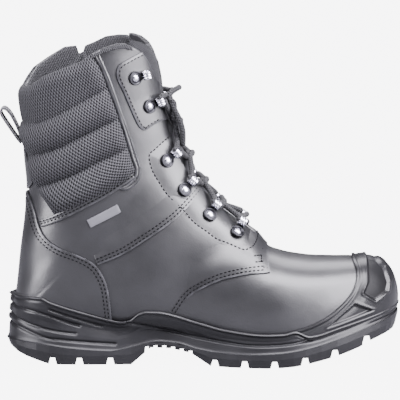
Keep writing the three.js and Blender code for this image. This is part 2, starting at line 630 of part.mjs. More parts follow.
// A bar over the feather line: its sides stand in from the foot of the upper
function footBar(inset, low, high, ends) {
  const rings = [];
  const steps = 16;
  for (let i = 0; i <= steps; i += 1) {
    const place = ends[0] + (i / steps) * (ends[1] - ends[0]);
    const [outside, inside] = [LATERAL, MEDIAL].map((sideIndex) => footEdge(place, sideIndex, inset));
    const ring = [[outside, low], [inside, low], [inside, high], [outside, high]];
    rings.push(ring.map(([edge, z]) => new THREE.Vector3(edge.x, edge.y, seatZ(edge.x) + z)));
  }
  return skin(rings);
}
const INSOLE_ENDS = [3, 15];
const FOOT_CUT_RISE = 3; // the upper is open below this height over the seat line
const FOOT_ENDS = [1.6, 15.7]; // the open part of the feather line, as places in the table of sections

function makeInsole() {
  return footBar(UPPER_WALL + 7 * GAP, GAP, GAP + INSOLE_THICKNESS, INSOLE_ENDS);
}

const throat = ridgeStrip(THROAT_START, TOP_PLACE, throatTurn, -CUT_MARGIN, CUT_MARGIN, 24, 4);
const boundaries = [sidePrism(COLLAR_LATERAL, -BALL_WIDTH, 0), sidePrism(COLLAR_MEDIAL, 0, BALL_WIDTH)];
const facingTop = sidePrism(FACING_TOP);

function trimmed(solid) {
  return [throat, facingTop, ...boundaries].reduce((whole, cutter) => whole.subtract(cutter), solid);
}

function makeUpper() {
  const shell = lastSolid(0).subtract(lastSolid(-UPPER_WALL)).subtract(footBar(UPPER_WALL, -CUT_MARGIN, FOOT_CUT_RISE, FOOT_ENDS));
  return trimmed(shell);
}

const halfSpace = [[-BALL_WIDTH, 0], [0, BALL_WIDTH]];
const overlayLayer = layer(GAP, GAP + OVERLAY);
const zipCorridor = sidePrism(band(ZIP_LINE, ZIP_TAPE_WIDTH + 2 * GAP + 1), 0, BALL_WIDTH);
const belowCup = sidePrism(region(edgeZ, 3 * GAP, -LEG_HEIGHT));

function overlay(outline, sideIndex) {
  const [from, to] = sideIndex === undefined ? [-BALL_WIDTH, BALL_WIDTH] : halfSpace[sideIndex];
  return overlayLayer.intersect(sidePrism(outline, from, to));
}

function makeCuff() {
  const base = layer(GAP, GAP + PAD_BASE).intersect(sidePrism(CUFF_OUTLINE));
  const thick = layer(GAP, GAP + PAD_THICKNESS);
  const pads = CUFF_GROOVES.slice(0, -1).map((upperGroove, i) => {
    const half = PAD_GROOVE / 2;
    const top = side(upperGroove).map(([x, z]) => [x, z - half]);
    const bottom = side(CUFF_GROOVES[i + 1]).map(([x, z]) => [x, z + half]);
    return thick.intersect(sidePrism([...top, ...bottom.reverse()]));
  });
  const whole = joined(pads).intersect(sidePrism(CUFF_OUTLINE)).add(base).subtract(zipCorridor);
  const cut = boundaries.reduce((kept, cutter) => kept.subtract(cutter), whole);
  return cut.decompose().sort((a, b) => b.volume() - a.volume());
}

function makeTongue() {
  const under = -(UPPER_WALL + GAP);
  const edgeTurn = (place) => throatTurn(Math.max(place, THROAT_START)) + TONGUE_OVERLAP;
  const strip = ridgeStrip(TONGUE_START, TOP_PLACE, edgeTurn, under - 3 * TONGUE_THICKNESS, UPPER_WALL, 10, 3);
  return layer(under - TONGUE_THICKNESS, under).intersect(strip).subtract(sidePrism(TONGUE_TOP));
}

function makeToeCap() {
  const rear = smoothOutline(side(TOE_CAP_REAR), 2, false);
  const beyond = SOLE_LENGTH + OUTLINE_MARGIN;
  const outline = [...rear, [rear.at(-1)[0], -OUTLINE_MARGIN], [beyond, -OUTLINE_MARGIN], [beyond, LEG_HEIGHT]];
  return layer(GAP, GAP + TOE_CAP_THICKNESS).intersect(sidePrism(outline)).subtract(belowCup);
}

function makeZip() {
  const tape = layer(GAP, GAP + ZIP_THICKNESS).intersect(sidePrism(band(ZIP_LINE, ZIP_TAPE_WIDTH), 0, BALL_WIDTH));
  return tape.subtract(belowCup).subtract(boundaries[1]);
}

// Where a point of the side view lies on the last
function locate(x, z, sideIndex) {
  const offLine = (place) => {
    const { front, back } = sectionAt(place);
    return (back.x - front.x) * (z - front.y) - (back.y - front.y) * (x - front.x);
  };
  let low = 0;
  let high = TOP_PLACE;
  const sign = Math.sign(offLine(low));
  for (let i = 0; i < 40; i += 1) {
    const middle = (low + high) / 2;
    if (Math.sign(offLine(middle)) === sign) low = middle;
    else high = middle;
  }
  const place = (low + high) / 2;
  let near = 0;
  let far = 2;
  for (let i = 0; i < 40; i += 1) {
    const middle = (near + far) / 2;
    const { front, back } = sectionAt(place);
    const chord = back.clone().sub(front);
    const point = lastPoint(place, middle, sideIndex);
    const target = ((x - front.x) * chord.x + (z - front.y) * chord.y);
    const reached = ((point.x - front.x) * chord.x + (point.z - front.y) * chord.y);
    if (reached < target) near = middle;
    else far = middle;
  }
  return { place, turn: (near + far) / 2 };
}

// The turn at a distance nearer to the ridge
function turnToward(spot, distance, sideIndex) {
  const start = lastPoint(spot.place, spot.turn, sideIndex);
  let near = 0;
  let far = spot.turn;
  for (let i = 0; i < 30; i += 1) {
    const middle = (near + far) / 2;
    if (lastPoint(spot.place, middle, sideIndex).distanceTo(start) > distance) near = middle;
    else far = middle;
  }
  return (near + far) / 2;
}

// Rivets of the lace hardware, from the top hook down to the lowest loop
const RIVETS = side([
  [0.329, 0.861], [0.364, 0.759], [0.408, 0.567], [0.453, 0.462], [0.516, 0.374], [0.585, 0.312],
]);
const HOOKS = 2; // the upper two are open hooks, the others closed loops
const RING_REACH = 8.6; // from the rivet to the ring's middle

function makeEyelet(rivet, sideIndex, open) {
  const spot = locate(rivet[0], rivet[1], sideIndex);
  const base = offsetPoint(spot.place, spot.turn, sideIndex, OVERLAY + (open ? 1.6 : 3) * GAP);
  const normal = lastNormal(spot.place, spot.turn, sideIndex);
  const ahead = lastPoint(spot.place, turnToward(spot, RING_REACH, sideIndex), sideIndex);
  const toward = ahead.sub(lastPoint(spot.place, spot.turn, sideIndex));
  toward.addScaledVector(normal, -toward.dot(normal)).normalize();
  const along = normal.clone().cross(toward);
  const frame = new THREE.Matrix4().makeBasis(toward, along, normal).setPosition(base);

  const plateShape = new THREE.Shape();
  plateShape.absarc(0, 0, RIVET_PLATE_RADIUS, PLATE_CORNER, 2 * Math.PI - PLATE_CORNER, false);
  plateShape.lineTo(RING_REACH + 1, -RING_WIDTH / 2);
  plateShape.lineTo(RING_REACH + 1, RING_WIDTH / 2);
  const plate = new THREE.ExtrudeGeometry(plateShape, { depth: PLATE_THICKNESS, bevelEnabled: false, curveSegments: 4 });
  const rivetHead = new THREE.CylinderGeometry(RIVET_RADIUS * 0.6, RIVET_RADIUS, RIVET_HEIGHT, 7);
  rivetHead.rotateX(Math.PI / 2);
  rivetHead.translate(0, 0, PLATE_THICKNESS + RIVET_HEIGHT / 2 - 0.1);

  const ringShape = new THREE.Shape();
  if (open) {
    const [openFrom, openTo] = HOOK_OPENING;
    ringShape.absarc(0, 0, RING_OUTER, openFrom, openTo, false);
    ringShape.absarc(0, 0, RING_INNER, openTo, openFrom, true);
  } else {
    ringShape.absarc(0, 0, RING_OUTER, 0, 2 * Math.PI, false);
    const hole = new THREE.Path();
    hole.absarc(0, 0, RING_INNER, 0, 2 * Math.PI, true);
    ringShape.holes.push(hole);
  }
  const ring = new THREE.ExtrudeGeometry(ringShape, { depth: RING_WIDTH, bevelEnabled: false, curveSegments: 3 });
  ring.rotateX(Math.PI / 2);
  ring.translate(RING_REACH, RING_WIDTH / 2, RING_OUTER + 0.3);
  const whole = joined([plate, rivetHead, ring].map(solidOf));
  const geometry = geometryOf(whole);
  geometry.applyMatrix4(frame);
  return solidOf(geometry);
}

const LACE_SIDES = 6;

function tube(points, diameter, steps) {
  const path = new THREE.CatmullRomCurve3(points, false, "centripetal");
  const section = new THREE.Shape();
  section.absarc(0, 0, diameter / 2, 0, 2 * Math.PI, false);
  const geometry = new THREE.ExtrudeGeometry(section, { steps, extrudePath: path, curveSegments: LACE_SIDES / 2, bevelEnabled: false });
  return solidOf(geometry);
}

const LACE_LIFT = GAP * 3 + OVERLAY + LACE_DIAMETER / 2;
const RAIL_REACH = RING_REACH + RING_OUTER + LACE_DIAMETER / 2 + 2 * GAP;

function railSpot(index, sideIndex) {
  const spot = locate(RIVETS[index][0], RIVETS[index][1], sideIndex);
  return { place: spot.place, turn: turnToward(spot, RAIL_REACH, sideIndex) };
}

function laceBar(index) {
  const spots = [railSpot(index, LATERAL), railSpot(index, MEDIAL)];
  const points = [];
  const halves = 3;
  for (let k = halves; k > 0; k -= 1) {
    points.push(offsetPoint(spots[0].place, (spots[0].turn * k) / halves, LATERAL, LACE_LIFT));
  }
  for (let k = 0; k <= halves; k += 1) {
    points.push(offsetPoint(spots[0].place, (spots[1].turn * k) / halves, MEDIAL, LACE_LIFT));
  }
  return tube(points, LACE_DIAMETER, 6);
}

function laceRail(index, sideIndex) {
  const [from, to] = [railSpot(index, sideIndex), railSpot(index + 1, sideIndex)];
  const points = [];
  for (let k = 0; k <= 4; k += 1) {
    const mix = k / 4;
    points.push(offsetPoint(from.place + mix * (to.place - from.place), from.turn + mix * (to.turn - from.turn),
      sideIndex, LACE_LIFT));
  }
  return tube(points, LACE_DIAMETER * 0.96, 3);
}

function makeLaceCrossings() {
  const bars = [1, 2, 3, 4, 5].map(laceBar);
  const rails = [1, 2, 3, 4].flatMap((index) => [laceRail(index, LATERAL), laceRail(index, MEDIAL)]);
  return joined([...bars, ...rails]);
}

// The bow's loop stands off the rail between the second hook and the first closed loop
const BOW_LIFTS = [1.1, 1.5, 1.9, 1.9, 1.5, 1.1]; // in lace diameters above the rail's own lift
const BOW_SPAN = [0.04, 0.94]; // shares of the rail that the bow stands over
function makeLaceBow() {
  const [from, to] = [railSpot(1, LATERAL), railSpot(2, LATERAL)];
  const points = BOW_LIFTS.map((lift, k) => {
    const mix = BOW_SPAN[0] + (BOW_SPAN[1] - BOW_SPAN[0]) * (k / (BOW_LIFTS.length - 1));
    return offsetPoint(from.place + mix * (to.place - from.place), from.turn + mix * (to.turn - from.turn),
      LATERAL, LACE_LIFT + lift * LACE_DIAMETER);
  });
  return tube(points, LACE_DIAMETER, 10);
}

// The lace's free end stands up from the crossing at the second hook
const LACE_END = [[0.32, 0.1], [1.0, 0.5], [1.6, 1.3], [2.2, 2.3]]; // sections up the leg, lace diameters out
function makeLaceEnd() {
  const spot = railSpot(1, LATERAL);
  const points = LACE_END.map(([up, lift]) =>
    offsetPoint(spot.place + up, spot.turn, LATERAL, LACE_LIFT + lift * LACE_DIAMETER));
  return tube(points, LACE_DIAMETER, 4);
}

const LOOP_ANCHOR = [0.0425, 0.606]; // lower end of the pull loop, in the side view's shares
const LOOP_REACH = 17;
const LOOP_HEIGHT = 31;
const LOOP_PROFILE = [
  [0, 0], [-0.25, 0.18], [-0.54, 0.42], [-0.81, 0.65], [-0.99, 0.82], [-1, 0.94], [-0.87, 1], [-0.69, 0.98],
  [-0.48, 0.87], [-0.27, 0.66], [-0.10, 0.44], [-0.01, 0.2],
];

const LOOP_INSIDE = [
  [-0.15, 0.25], [-0.44, 0.47], [-0.70, 0.68], [-0.87, 0.83], [-0.88, 0.90], [-0.83, 0.935], [-0.735, 0.915],
  [-0.56, 0.81], [-0.37, 0.63], [-0.206, 0.43], [-0.12, 0.28],
];

function makePullLoop() {
  const [[anchorX, anchorZ]] = side([LOOP_ANCHOR]);
  const placed = (points) => smoothOutline(
    points.map(([x, z]) => [anchorX + x * LOOP_REACH, anchorZ + z * LOOP_HEIGHT]), 2);
  const web = sidePrism(placed(LOOP_PROFILE), -LOOP_WIDTH / 2, LOOP_WIDTH / 2);
  return web.subtract(sidePrism(placed(LOOP_INSIDE), -LOOP_WIDTH, LOOP_WIDTH));
}

// The pieces
const boot = new THREE.Group();
function add(name, solid, look) {
  const mesh = new THREE.Mesh(geometryOf(solid), new THREE.MeshStandardMaterial(look));
  mesh.name = name;
  boot.add(mesh);
}
const LEATHER = { color: 0x26272a, roughness: 0.42, metalness: 0 };
const RUBBER = { color: 0x222325, roughness: 0.55, metalness: 0 };
const CAP_RUBBER = { color: 0x1c1d1f, roughness: 0.35, metalness: 0 };
const MESH_FABRIC = { color: 0x2e2f31, roughness: 0.9, metalness: 0 };
const TEXTILE = { color: 0x242527, roughness: 0.95, metalness: 0 };
const CORD = { color: 0x303133, roughness: 0.9, metalness: 0 };
const METAL = { color: 0xb8bbc0, roughness: 0.25, metalness: 1 };
const LABEL_GREY = { color: 0xa9abad, roughness: 0.6, metalness: 0 };
const FOAM = { color: 0x2a2a2c, roughness: 0.95, metalness: 0 };

add("outsole", makeOutsole(), RUBBER);
add("midsole", makeMidsole(), RUBBER);
add("upper", makeUpper(), LEATHER);
add("tongue", makeTongue(), TEXTILE);
add("insole", makeInsole(), FOAM);
add("toe_cap", makeToeCap(), CAP_RUBBER);
add("heel_counter", overlay(COUNTER).subtract(belowCup), LEATHER);
const [cuffRound, cuffAheadOfZip] = makeCuff();
add("padded_cuff", cuffRound, MESH_FABRIC);
add("padded_cuff_front", cuffAheadOfZip, MESH_FABRIC);
add("backstay", overlay(BACKSTAY), LEATHER);
add("pull_loop", makePullLoop(), TEXTILE);
add("ankle_label", layer(GAP, GAP + LABEL_THICKNESS).intersect(sidePrism(LABEL, ...halfSpace[LATERAL])), LABEL_GREY);
add("zip_strip", makeZip(), TEXTILE);

const cuffClear = sidePrism(grown(CUFF_OUTLINE, GAP + 0.1));
for (const [sideIndex, word] of [[LATERAL, "lateral"], [MEDIAL, "medial"]]) {
  const piping = overlay(PIPING_OUTER, sideIndex).subtract(cuffClear).subtract(boundaries[sideIndex]);
  add(`cuff_piping_${word}`, piping, LEATHER);
  add(`hook_patch_${word}`, trimmed(overlay(HOOK_PATCH, sideIndex)), LEATHER);
  add(`eyestay_${word}`, trimmed(overlay(EYESTAY, sideIndex)), LEATHER);
  RIVETS.forEach((rivet, i) => {
    const kind = i < HOOKS ? "hook" : "loop";
    add(`lace_${kind}_${word}_${i + 1}`, makeEyelet(rivet, sideIndex, i < HOOKS), METAL);
  });
}
add("lace_crossings", makeLaceCrossings(), CORD);
add("lace_bow", makeLaceBow(), CORD);
add("lace_end", makeLaceEnd(), CORD);

// The origin is on the floor, under the middle of a flat heel lug
const HEEL_REST = (HEEL_NOTCHES[0] + HEEL_NOTCHES[1]) / 2;
boot.position.x = -HEEL_REST * SOLE_LENGTH;

export default boot;
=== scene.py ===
# A right-foot high-leg safety boot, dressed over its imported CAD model.
# Metres, +X to the toe, +Z up, -Y to the outer (lateral) side. The origin is under a heel lug.
import math

import bmesh
import bpy
import numpy as np
from mathutils import Matrix, Vector
from mathutils.kdtree import KDTree


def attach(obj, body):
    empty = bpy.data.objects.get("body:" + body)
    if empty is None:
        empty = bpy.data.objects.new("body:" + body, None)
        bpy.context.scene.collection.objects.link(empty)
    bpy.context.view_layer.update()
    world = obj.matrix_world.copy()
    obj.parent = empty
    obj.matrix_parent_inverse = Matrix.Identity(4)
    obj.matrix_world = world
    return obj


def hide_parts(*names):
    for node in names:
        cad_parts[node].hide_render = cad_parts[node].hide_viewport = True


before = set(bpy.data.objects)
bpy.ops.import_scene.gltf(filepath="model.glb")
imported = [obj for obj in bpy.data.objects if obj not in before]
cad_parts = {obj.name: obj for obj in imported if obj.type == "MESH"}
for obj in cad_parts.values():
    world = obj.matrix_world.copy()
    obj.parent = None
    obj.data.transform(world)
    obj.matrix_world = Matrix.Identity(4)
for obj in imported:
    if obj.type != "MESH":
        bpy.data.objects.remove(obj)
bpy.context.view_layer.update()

# Driving sizes, as in the CAD model
MM = 0.001
SOLE_LENGTH = 308 * MM
BALL_WIDTH = 112 * MM
LEG_HEIGHT = 223 * MM
SOLE_RISE = 53 * MM
UPPER_WALL = 2.2 * MM
OVERLAY = 1.4 * MM
GAP = 0.3 * MM
TOE_CAP_THICKNESS = 3.1 * MM
PAD_THICKNESS = 5.2 * MM
TONGUE_THICKNESS = 4.5 * MM
LACE_DIAMETER = 4.4 * MM
HEEL_NOTCHES = [0.122, 0.190, 0.268]
HEEL_REST = (HEEL_NOTCHES[0] + HEEL_NOTCHES[1]) / 2
ORIGIN_X = HEEL_REST * SOLE_LENGTH

# The upper's sections, from the toe to the collar: frontX, frontHeight, backX, backHeight, lateral, medial,
# widest, frontRound, backRound, footLateral, footMedial, crest. Shares as in the CAD model.
SECTIONS = np.array([
    [0.990, 0.047, 0.988, 0, 0.045, 0.115, 0.60, 2.2, 2.4, 0.050, 0.110, 0.080],
    [0.986, 0.084, 0.984, 0, -0.035, 0.185, 0.62, 2.3, 2.4, -0.030, 0.180, 0.080],
    [0.976, 0.129, 0.972, 0, -0.135, 0.270, 0.66, 2.4, 2.4, -0.125, 0.260, 0.075],
    [0.959, 0.166, 0.953, 0, -0.215, 0.335, 0.70, 2.5, 2.4, -0.200, 0.320, 0.065],
    [0.932, 0.198, 0.922, 0, -0.285, 0.378, 0.72, 2.6, 2.4, -0.268, 0.360, 0.050],
    [0.883, 0.224, 0.873, 0, -0.355, 0.405, 0.74, 2.6, 2.4, -0.335, 0.385, 0.030],
    [0.825, 0.250, 0.812, 0, -0.425, 0.415, 0.75, 2.6, 2.4, -0.400, 0.390, 0.015],
    [0.760, 0.273, 0.744, 0, -0.472, 0.418, 0.76, 2.6, 2.4, -0.445, 0.388, 0.010],
    [0.701, 0.295, 0.679, 0, -0.488, 0.400, 0.76, 2.6, 2.4, -0.455, 0.368, 0.010],
    [0.666, 0.313, 0.610, 0, -0.470, 0.372, 0.76, 2.6, 2.4, -0.430, 0.335, 0.015],
    [0.635, 0.358, 0.536, 0, -0.442, 0.350, 0.75, 2.5, 2.4, -0.385, 0.300, 0.020],
    [0.591, 0.401, 0.455, 0, -0.418, 0.342, 0.74, 2.5, 2.4, -0.340, 0.270, 0.020],
    [0.547, 0.444, 0.364, 0, -0.402, 0.348, 0.71, 2.4, 2.4, -0.305, 0.260, 0.015],
    [0.508, 0.503, 0.260, 0, -0.390, 0.360, 0.65, 2.3, 2.4, -0.280, 0.265, 0.010],
    [0.484, 0.554, 0.149, 0, -0.380, 0.368, 0.59, 2.2, 2.4, -0.265, 0.262, 0.005],
    [0.467, 0.599, 0.075, 0, -0.372, 0.368, 0.55, 2.2, 2.4, -0.235, 0.235, 0],
    [0.456, 0.635, 0.035, 0.004, -0.368, 0.366, 0.52, 2.2, 2.4, -0.130, 0.130, 0],
    [0.449, 0.663, 0.028, 0.018, -0.366, 0.365, 0.51, 2.2, 2.4, 0, 0, 0],
    [0.443, 0.685, 0.030, 0.072, -0.366, 0.365, 0.50, 2.2, 2.4, 0, 0, 0],
    [0.437, 0.708, 0.036, 0.144, -0.368, 0.366, 0.50, 2.2, 2.3, 0, 0, 0],
    [0.431, 0.735, 0.044, 0.251, -0.372, 0.370, 0.50, 2.2, 2.3, 0, 0, 0],
    [0.423, 0.765, 0.055, 0.372, -0.378, 0.376, 0.50, 2.2, 2.2, 0, 0, 0],
    [0.415, 0.800, 0.059, 0.475, -0.386, 0.383, 0.50, 2.2, 2.2, 0, 0, 0],
    [0.407, 0.842, 0.053, 0.574, -0.396, 0.392, 0.50, 2.2, 2.2, 0, 0, 0],
    [0.402, 0.888, 0.049, 0.677, -0.406, 0.402, 0.50, 2.2, 2.2, 0, 0, 0],
    [0.397, 0.942, 0.047, 0.785, -0.414, 0.410, 0.50, 2.2, 2.2, 0, 0, 0],
    [0.394, 0.985, 0.049, 0.888, -0.418, 0.415, 0.50, 2.2, 2.2, 0, 0, 0],
    [0.393, 1.035, 0.058, 1.005, -0.420, 0.417, 0.50, 2.2, 2.2, 0, 0, 0],
])
FIRST_CLOSED = 17
TOP_PLACE = len(SECTIONS) - 1
THROAT_START = 9.05
THROAT_TURNS = np.array([0.0, 0.13, 0.17, 0.20, 0.24, 0.27, 0.29, 0.30, 0.31, 0.31])

# Plan of the sole: share of its length, lateral and medial edge as shares of the ball width
SOLE_PLAN = np.array([
    [0, 0, 0], [0.008, -0.110, 0.110], [0.030, -0.205, 0.205], [0.080, -0.300, 0.300], [0.150, -0.345, 0.345],
    [0.220, -0.350, 0.345], [0.320, -0.335, 0.310], [0.420, -0.360, 0.280], [0.520, -0.430, 0.310],
    [0.620, -0.510, 0.390], [0.700, -0.530, 0.450], [0.760, -0.515, 0.470], [0.840, -0.455, 0.468],
    [0.900, -0.370, 0.440], [0.950, -0.265, 0.380], [0.980, -0.160, 0.295], [0.995, -0.040, 0.200],
    [1, 0.080, 0.080],
])
SEAT_LINE = [
    [0, 0.604], [0.08, 0.583], [0.26, 0.549], [0.36, 0.537], [0.45, 0.502], [0.54, 0.437], [0.62, 0.375],
    [0.70, 0.351], [0.76, 0.380], [0.83, 0.465], [0.88, 0.555], [0.93, 0.628], [0.97, 0.695], [1, 0.760],
]
LEDGE_LINE = [
    [0, 0.325], [0.09, 0.300], [0.15, 0.253], [0.28, 0.200], [0.33, 0.270], [0.39, 0.345], [0.44, 0.325],
    [0.49, 0.250], [0.55, 0.205], [0.61, 0.195], [0.69, 0.215], [0.77, 0.290], [0.85, 0.422], [0.92, 0.555],
    [0.965, 0.635], [1, 0.720],
]
EDGE_LINE = [
    [0, 1], [0.09, 0.995], [0.116, 0.930], [0.213, 0.755], [0.268, 0.668], [0.294, 0.642], [0.314, 0.660],
    [0.342, 0.780], [0.360, 0.808], [0.382, 0.808], [0.494, 0.650], [0.558, 0.555], [0.656, 0.498],
    [0.705, 0.508], [0.734, 0.545], [0.770, 0.470], [0.850, 0.590], [0.915, 0.700], [0.965, 0.790],
    [1, 0.850],
]


# Interpolation
def table_rows(table, place):
    """The entries of a table read between its rows by a smooth curve, for many places at once."""
    last = len(table) - 1
    place = np.clip(place, 0, last)
    i = np.clip(np.floor(place).astype(int), 0, last - 1)
    t = (place - i)[..., None]
    a, b, c, d = (table[np.clip(i + k, 0, last)] for k in (-1, 0, 1, 2))
    slope_b, slope_c = (c - a) / 2, (d - b) / 2
    t2, t3 = t * t, t * t * t
    return ((2 * t3 - 3 * t2 + 1) * b + (t3 - 2 * t2 + t) * slope_b + (3 * t2 - 2 * t3) * c
            + (t3 - t2) * slope_c)


def height_line(points):
    """A height line of the sole as a function of x from the heel's rear, with no overshoot."""
    points = np.array(points, float)
    xs, ys = points[:, 0], points[:, 1]
    slopes = np.diff(ys) / np.diff(xs)
    before = np.concatenate([slopes[:1], slopes])
    after = np.concatenate([slopes, slopes[-1:]])
    product = before * after
    total = np.where(np.abs(before + after) < 1e-9, 1, before + after)
    tangents = np.where(product <= 0, 0, 2 * product / total)

    def at(x):
        share = np.clip(np.asarray(x, float) / SOLE_LENGTH, xs[0], xs[-1])
        i = np.clip(np.searchsorted(xs, share, side="left") - 1, 0, len(xs) - 2)
        span = xs[i + 1] - xs[i]
        t = (share - xs[i]) / span
        t2, t3 = t * t, t * t * t
        return SOLE_RISE * ((2 * t3 - 3 * t2 + 1) * ys[i] + (t3 - 2 * t2 + t) * span * tangents[i]
                            + (3 * t2 - 2 * t3) * ys[i + 1] + (t3 - t2) * span * tangents[i + 1])
    return at


seat_z = height_line(SEAT_LINE)
ledge_z = height_line(LEDGE_LINE)
edge_z = height_line(EDGE_LINE)
HEEL_SEAT = float(seat_z(0))


def side(points):
    """Side-view shares of the sole's length and the leg's height, as metres from the heel's rear."""
    points = np.array(points, float)
    return np.column_stack([points[:, 0] * SOLE_LENGTH, HEEL_SEAT + points[:, 1] * LEG_HEIGHT])


def smooth_line(points, steps=8, closed=False):
    """A smooth curve through points, as dense points."""
    points = np.array(points, float)
    if closed:
        padded = np.vstack([points[-1:], points, points[:2]])
        place = np.arange(0, len(points) * steps) / steps + 1
    else:
        padded = points
        place = np.arange(0, (len(points) - 1) * steps + 1) / steps
    return table_rows(padded, place)


def line_length(points):
    return float(np.linalg.norm(np.diff(points, axis=0), axis=1).sum())


def run_along(points):
    """How far along a line each of its points is."""
    return np.concatenate([[0], np.cumsum(np.linalg.norm(np.diff(points, axis=0), axis=1))])


def read_along(line, run, stations):
    """A line's points, or values kept beside them, at stations of its run."""
    return np.stack([np.interp(stations, run, values) for values in line.T], axis=-1)


def directions(line):
    """The unit vector along a line at each of its points."""
    tangent = np.gradient(line, axis=0)
    return tangent / np.maximum(np.linalg.norm(tangent, axis=1, keepdims=True), 1e-12)


def section_ends(row):
    """The front and back ends of sections of the last, in the side view."""
    front_x, back_x = row[..., 0] * SOLE_LENGTH, row[..., 2] * SOLE_LENGTH
    front_z = seat_z(front_x) + row[..., 1] * LEG_HEIGHT
    back_z = seat_z(back_x) + np.maximum(0, row[..., 3]) * LEG_HEIGHT
    return np.stack([front_x, front_z], axis=-1), np.stack([back_x, back_z], axis=-1)


# The form of the last. Wrap runs from 0 at the ridge: up to 2 at the foot or back on the medial side, and
# down to -2 on the lateral side. Past 2 it goes on round the back to the lateral side.
def last_xyz(place, wrap):
    place, wrap = np.broadcast_arrays(np.asarray(place, float), np.asarray(wrap, float))
    wrap = np.where(wrap > 2, wrap - 4, wrap)
    medial = wrap >= 0
    turn = np.abs(wrap)
    row = table_rows(SECTIONS, place)
    front, back = section_ends(row)
    crest = row[..., 11] * BALL_WIDTH
    reach = np.where(medial, row[..., 5], row[..., 4]) * BALL_WIDTH - crest
    foot = np.where(medial, row[..., 10], row[..., 9]) * BALL_WIDTH
    foot = np.where(place >= FIRST_CLOSED, 0, np.clip((foot - crest) / reach, 0, 0.995))
    widest = row[..., 6]

    angle = np.clip(turn, 0, 1) * math.pi / 2
    n = row[..., 7]
    cos, sin = np.maximum(np.cos(angle), 0), np.sin(angle)
    r = (cos ** n + sin ** n) ** (-1 / n)
    front_share, front_out = widest * (1 - r * cos), r * sin

    n = row[..., 8]
    fall = (1 - foot ** n) ** (1 / n)
    angle = np.clip(turn - 1, 0, 1) * np.arctan2(fall, foot)
    cos, sin = np.maximum(np.cos(angle), 0), np.sin(angle)
    r = (cos ** n + sin ** n) ** (-1 / n)
    back_share, back_out = widest + (1 - widest) * r * sin / fall, r * cos

    share = np.where(turn <= 1, front_share, back_share)
    out = np.where(turn <= 1, front_out, back_out)
    xz = front + share[..., None] * (back - front)
    return np.stack([xz[..., 0], crest + reach * out, xz[..., 1]], axis=-1)


def last_normal(place, wrap):
    """The outward direction at points of the last, from their neighbours."""
    place, wrap = np.broadcast_arrays(np.asarray(place, float), np.asarray(wrap, float))
    step = 0.02
    along = last_xyz(np.minimum(place + step, TOP_PLACE), wrap) - last_xyz(np.maximum(place - step, 0), wrap)
    low, high = wrap - step, wrap + step
    is_open = place < FIRST_CLOSED
    high = np.where(is_open & (wrap <= 2) & (high > 2), 2, high)
    low = np.where(is_open & (wrap < -2 + step), -2, low)
    low = np.where(~is_open & (low < -2), low + 4, low)
    across = last_xyz(place, high) - last_xyz(place, low)
    normal = np.cross(across, along)
    return normal / np.maximum(np.linalg.norm(normal, axis=-1, keepdims=True), 1e-12)


def last_at(place, wrap, offset=0.0):
    """Points at a height over the last."""
    return last_xyz(place, wrap) + last_normal(place, wrap) * np.asarray(offset, float)[..., None]


def placed(points):
    """Points from the heel's rear, as points of the model's own frame."""
    return points - np.array([ORIGIN_X, 0, 0])


def locate(xz, medial):
    """The place and wrap of side-view points on one side of the last."""
    xz = np.atleast_2d(xz)
    sign = 1.0 if medial else -1.0
    low, high = np.zeros(len(xz)), np.full(len(xz), float(TOP_PLACE))

    def off_line(place):
        front, back = section_ends(table_rows(SECTIONS, place))
        chord, offset = back - front, xz - front
        return chord[:, 0] * offset[:, 1] - chord[:, 1] * offset[:, 0]
    start = np.sign(off_line(low))
    for _ in range(40):
        middle = (low + high) / 2
        same = np.sign(off_line(middle)) == start
        low, high = np.where(same, middle, low), np.where(same, high, middle)
    place = (low + high) / 2
    front, back = section_ends(table_rows(SECTIONS, place))
    chord = back - front
    target = ((xz - front) * chord).sum(axis=1)
    near, far = np.zeros(len(xz)), np.full(len(xz), 2.0)
    for _ in range(40):
        middle = (near + far) / 2
        point = last_xyz(place, middle * sign)
        reached = ((point[:, [0, 2]] - front) * chord).sum(axis=1)
        short = reached < target
        near, far = np.where(short, middle, near), np.where(short, far, middle)
    return place, sign * (near + far) / 2


def inside(outline, xz):
    """Which side-view points are inside a closed outline."""
    x, z = xz[..., 0], xz[..., 1]
    result = np.zeros(x.shape, bool)
    count = len(outline)
    for i in range(count):
        (ax, az), (bx, bz) = outline[i], outline[(i + 1) % count]
        if az == bz:
            continue
        crosses = (az > z) != (bz > z)
        result ^= crosses & (x < (bx - ax) * (z - az) / (bz - az) + ax)
    return result


def line_distance(line, xz):
    """Distance of side-view points from a line, and the nearest points."""
    best = np.full(xz.shape[:-1], 1e9)
    nearest = np.zeros_like(xz)
    for a, b in zip(line[:-1], line[1:]):
        span = b - a
        t = np.clip(((xz - a) @ span) / max(span @ span, 1e-12), 0, 1)
        point = a + t[..., None] * span
        distance = np.linalg.norm(xz - point, axis=-1)
        closer = distance < best
        best = np.where(closer, distance, best)
        nearest = np.where(closer[..., None], point, nearest)
    return best, nearest


def side_view(place, wrap):
    return last_xyz(place, wrap)[..., [0, 2]]


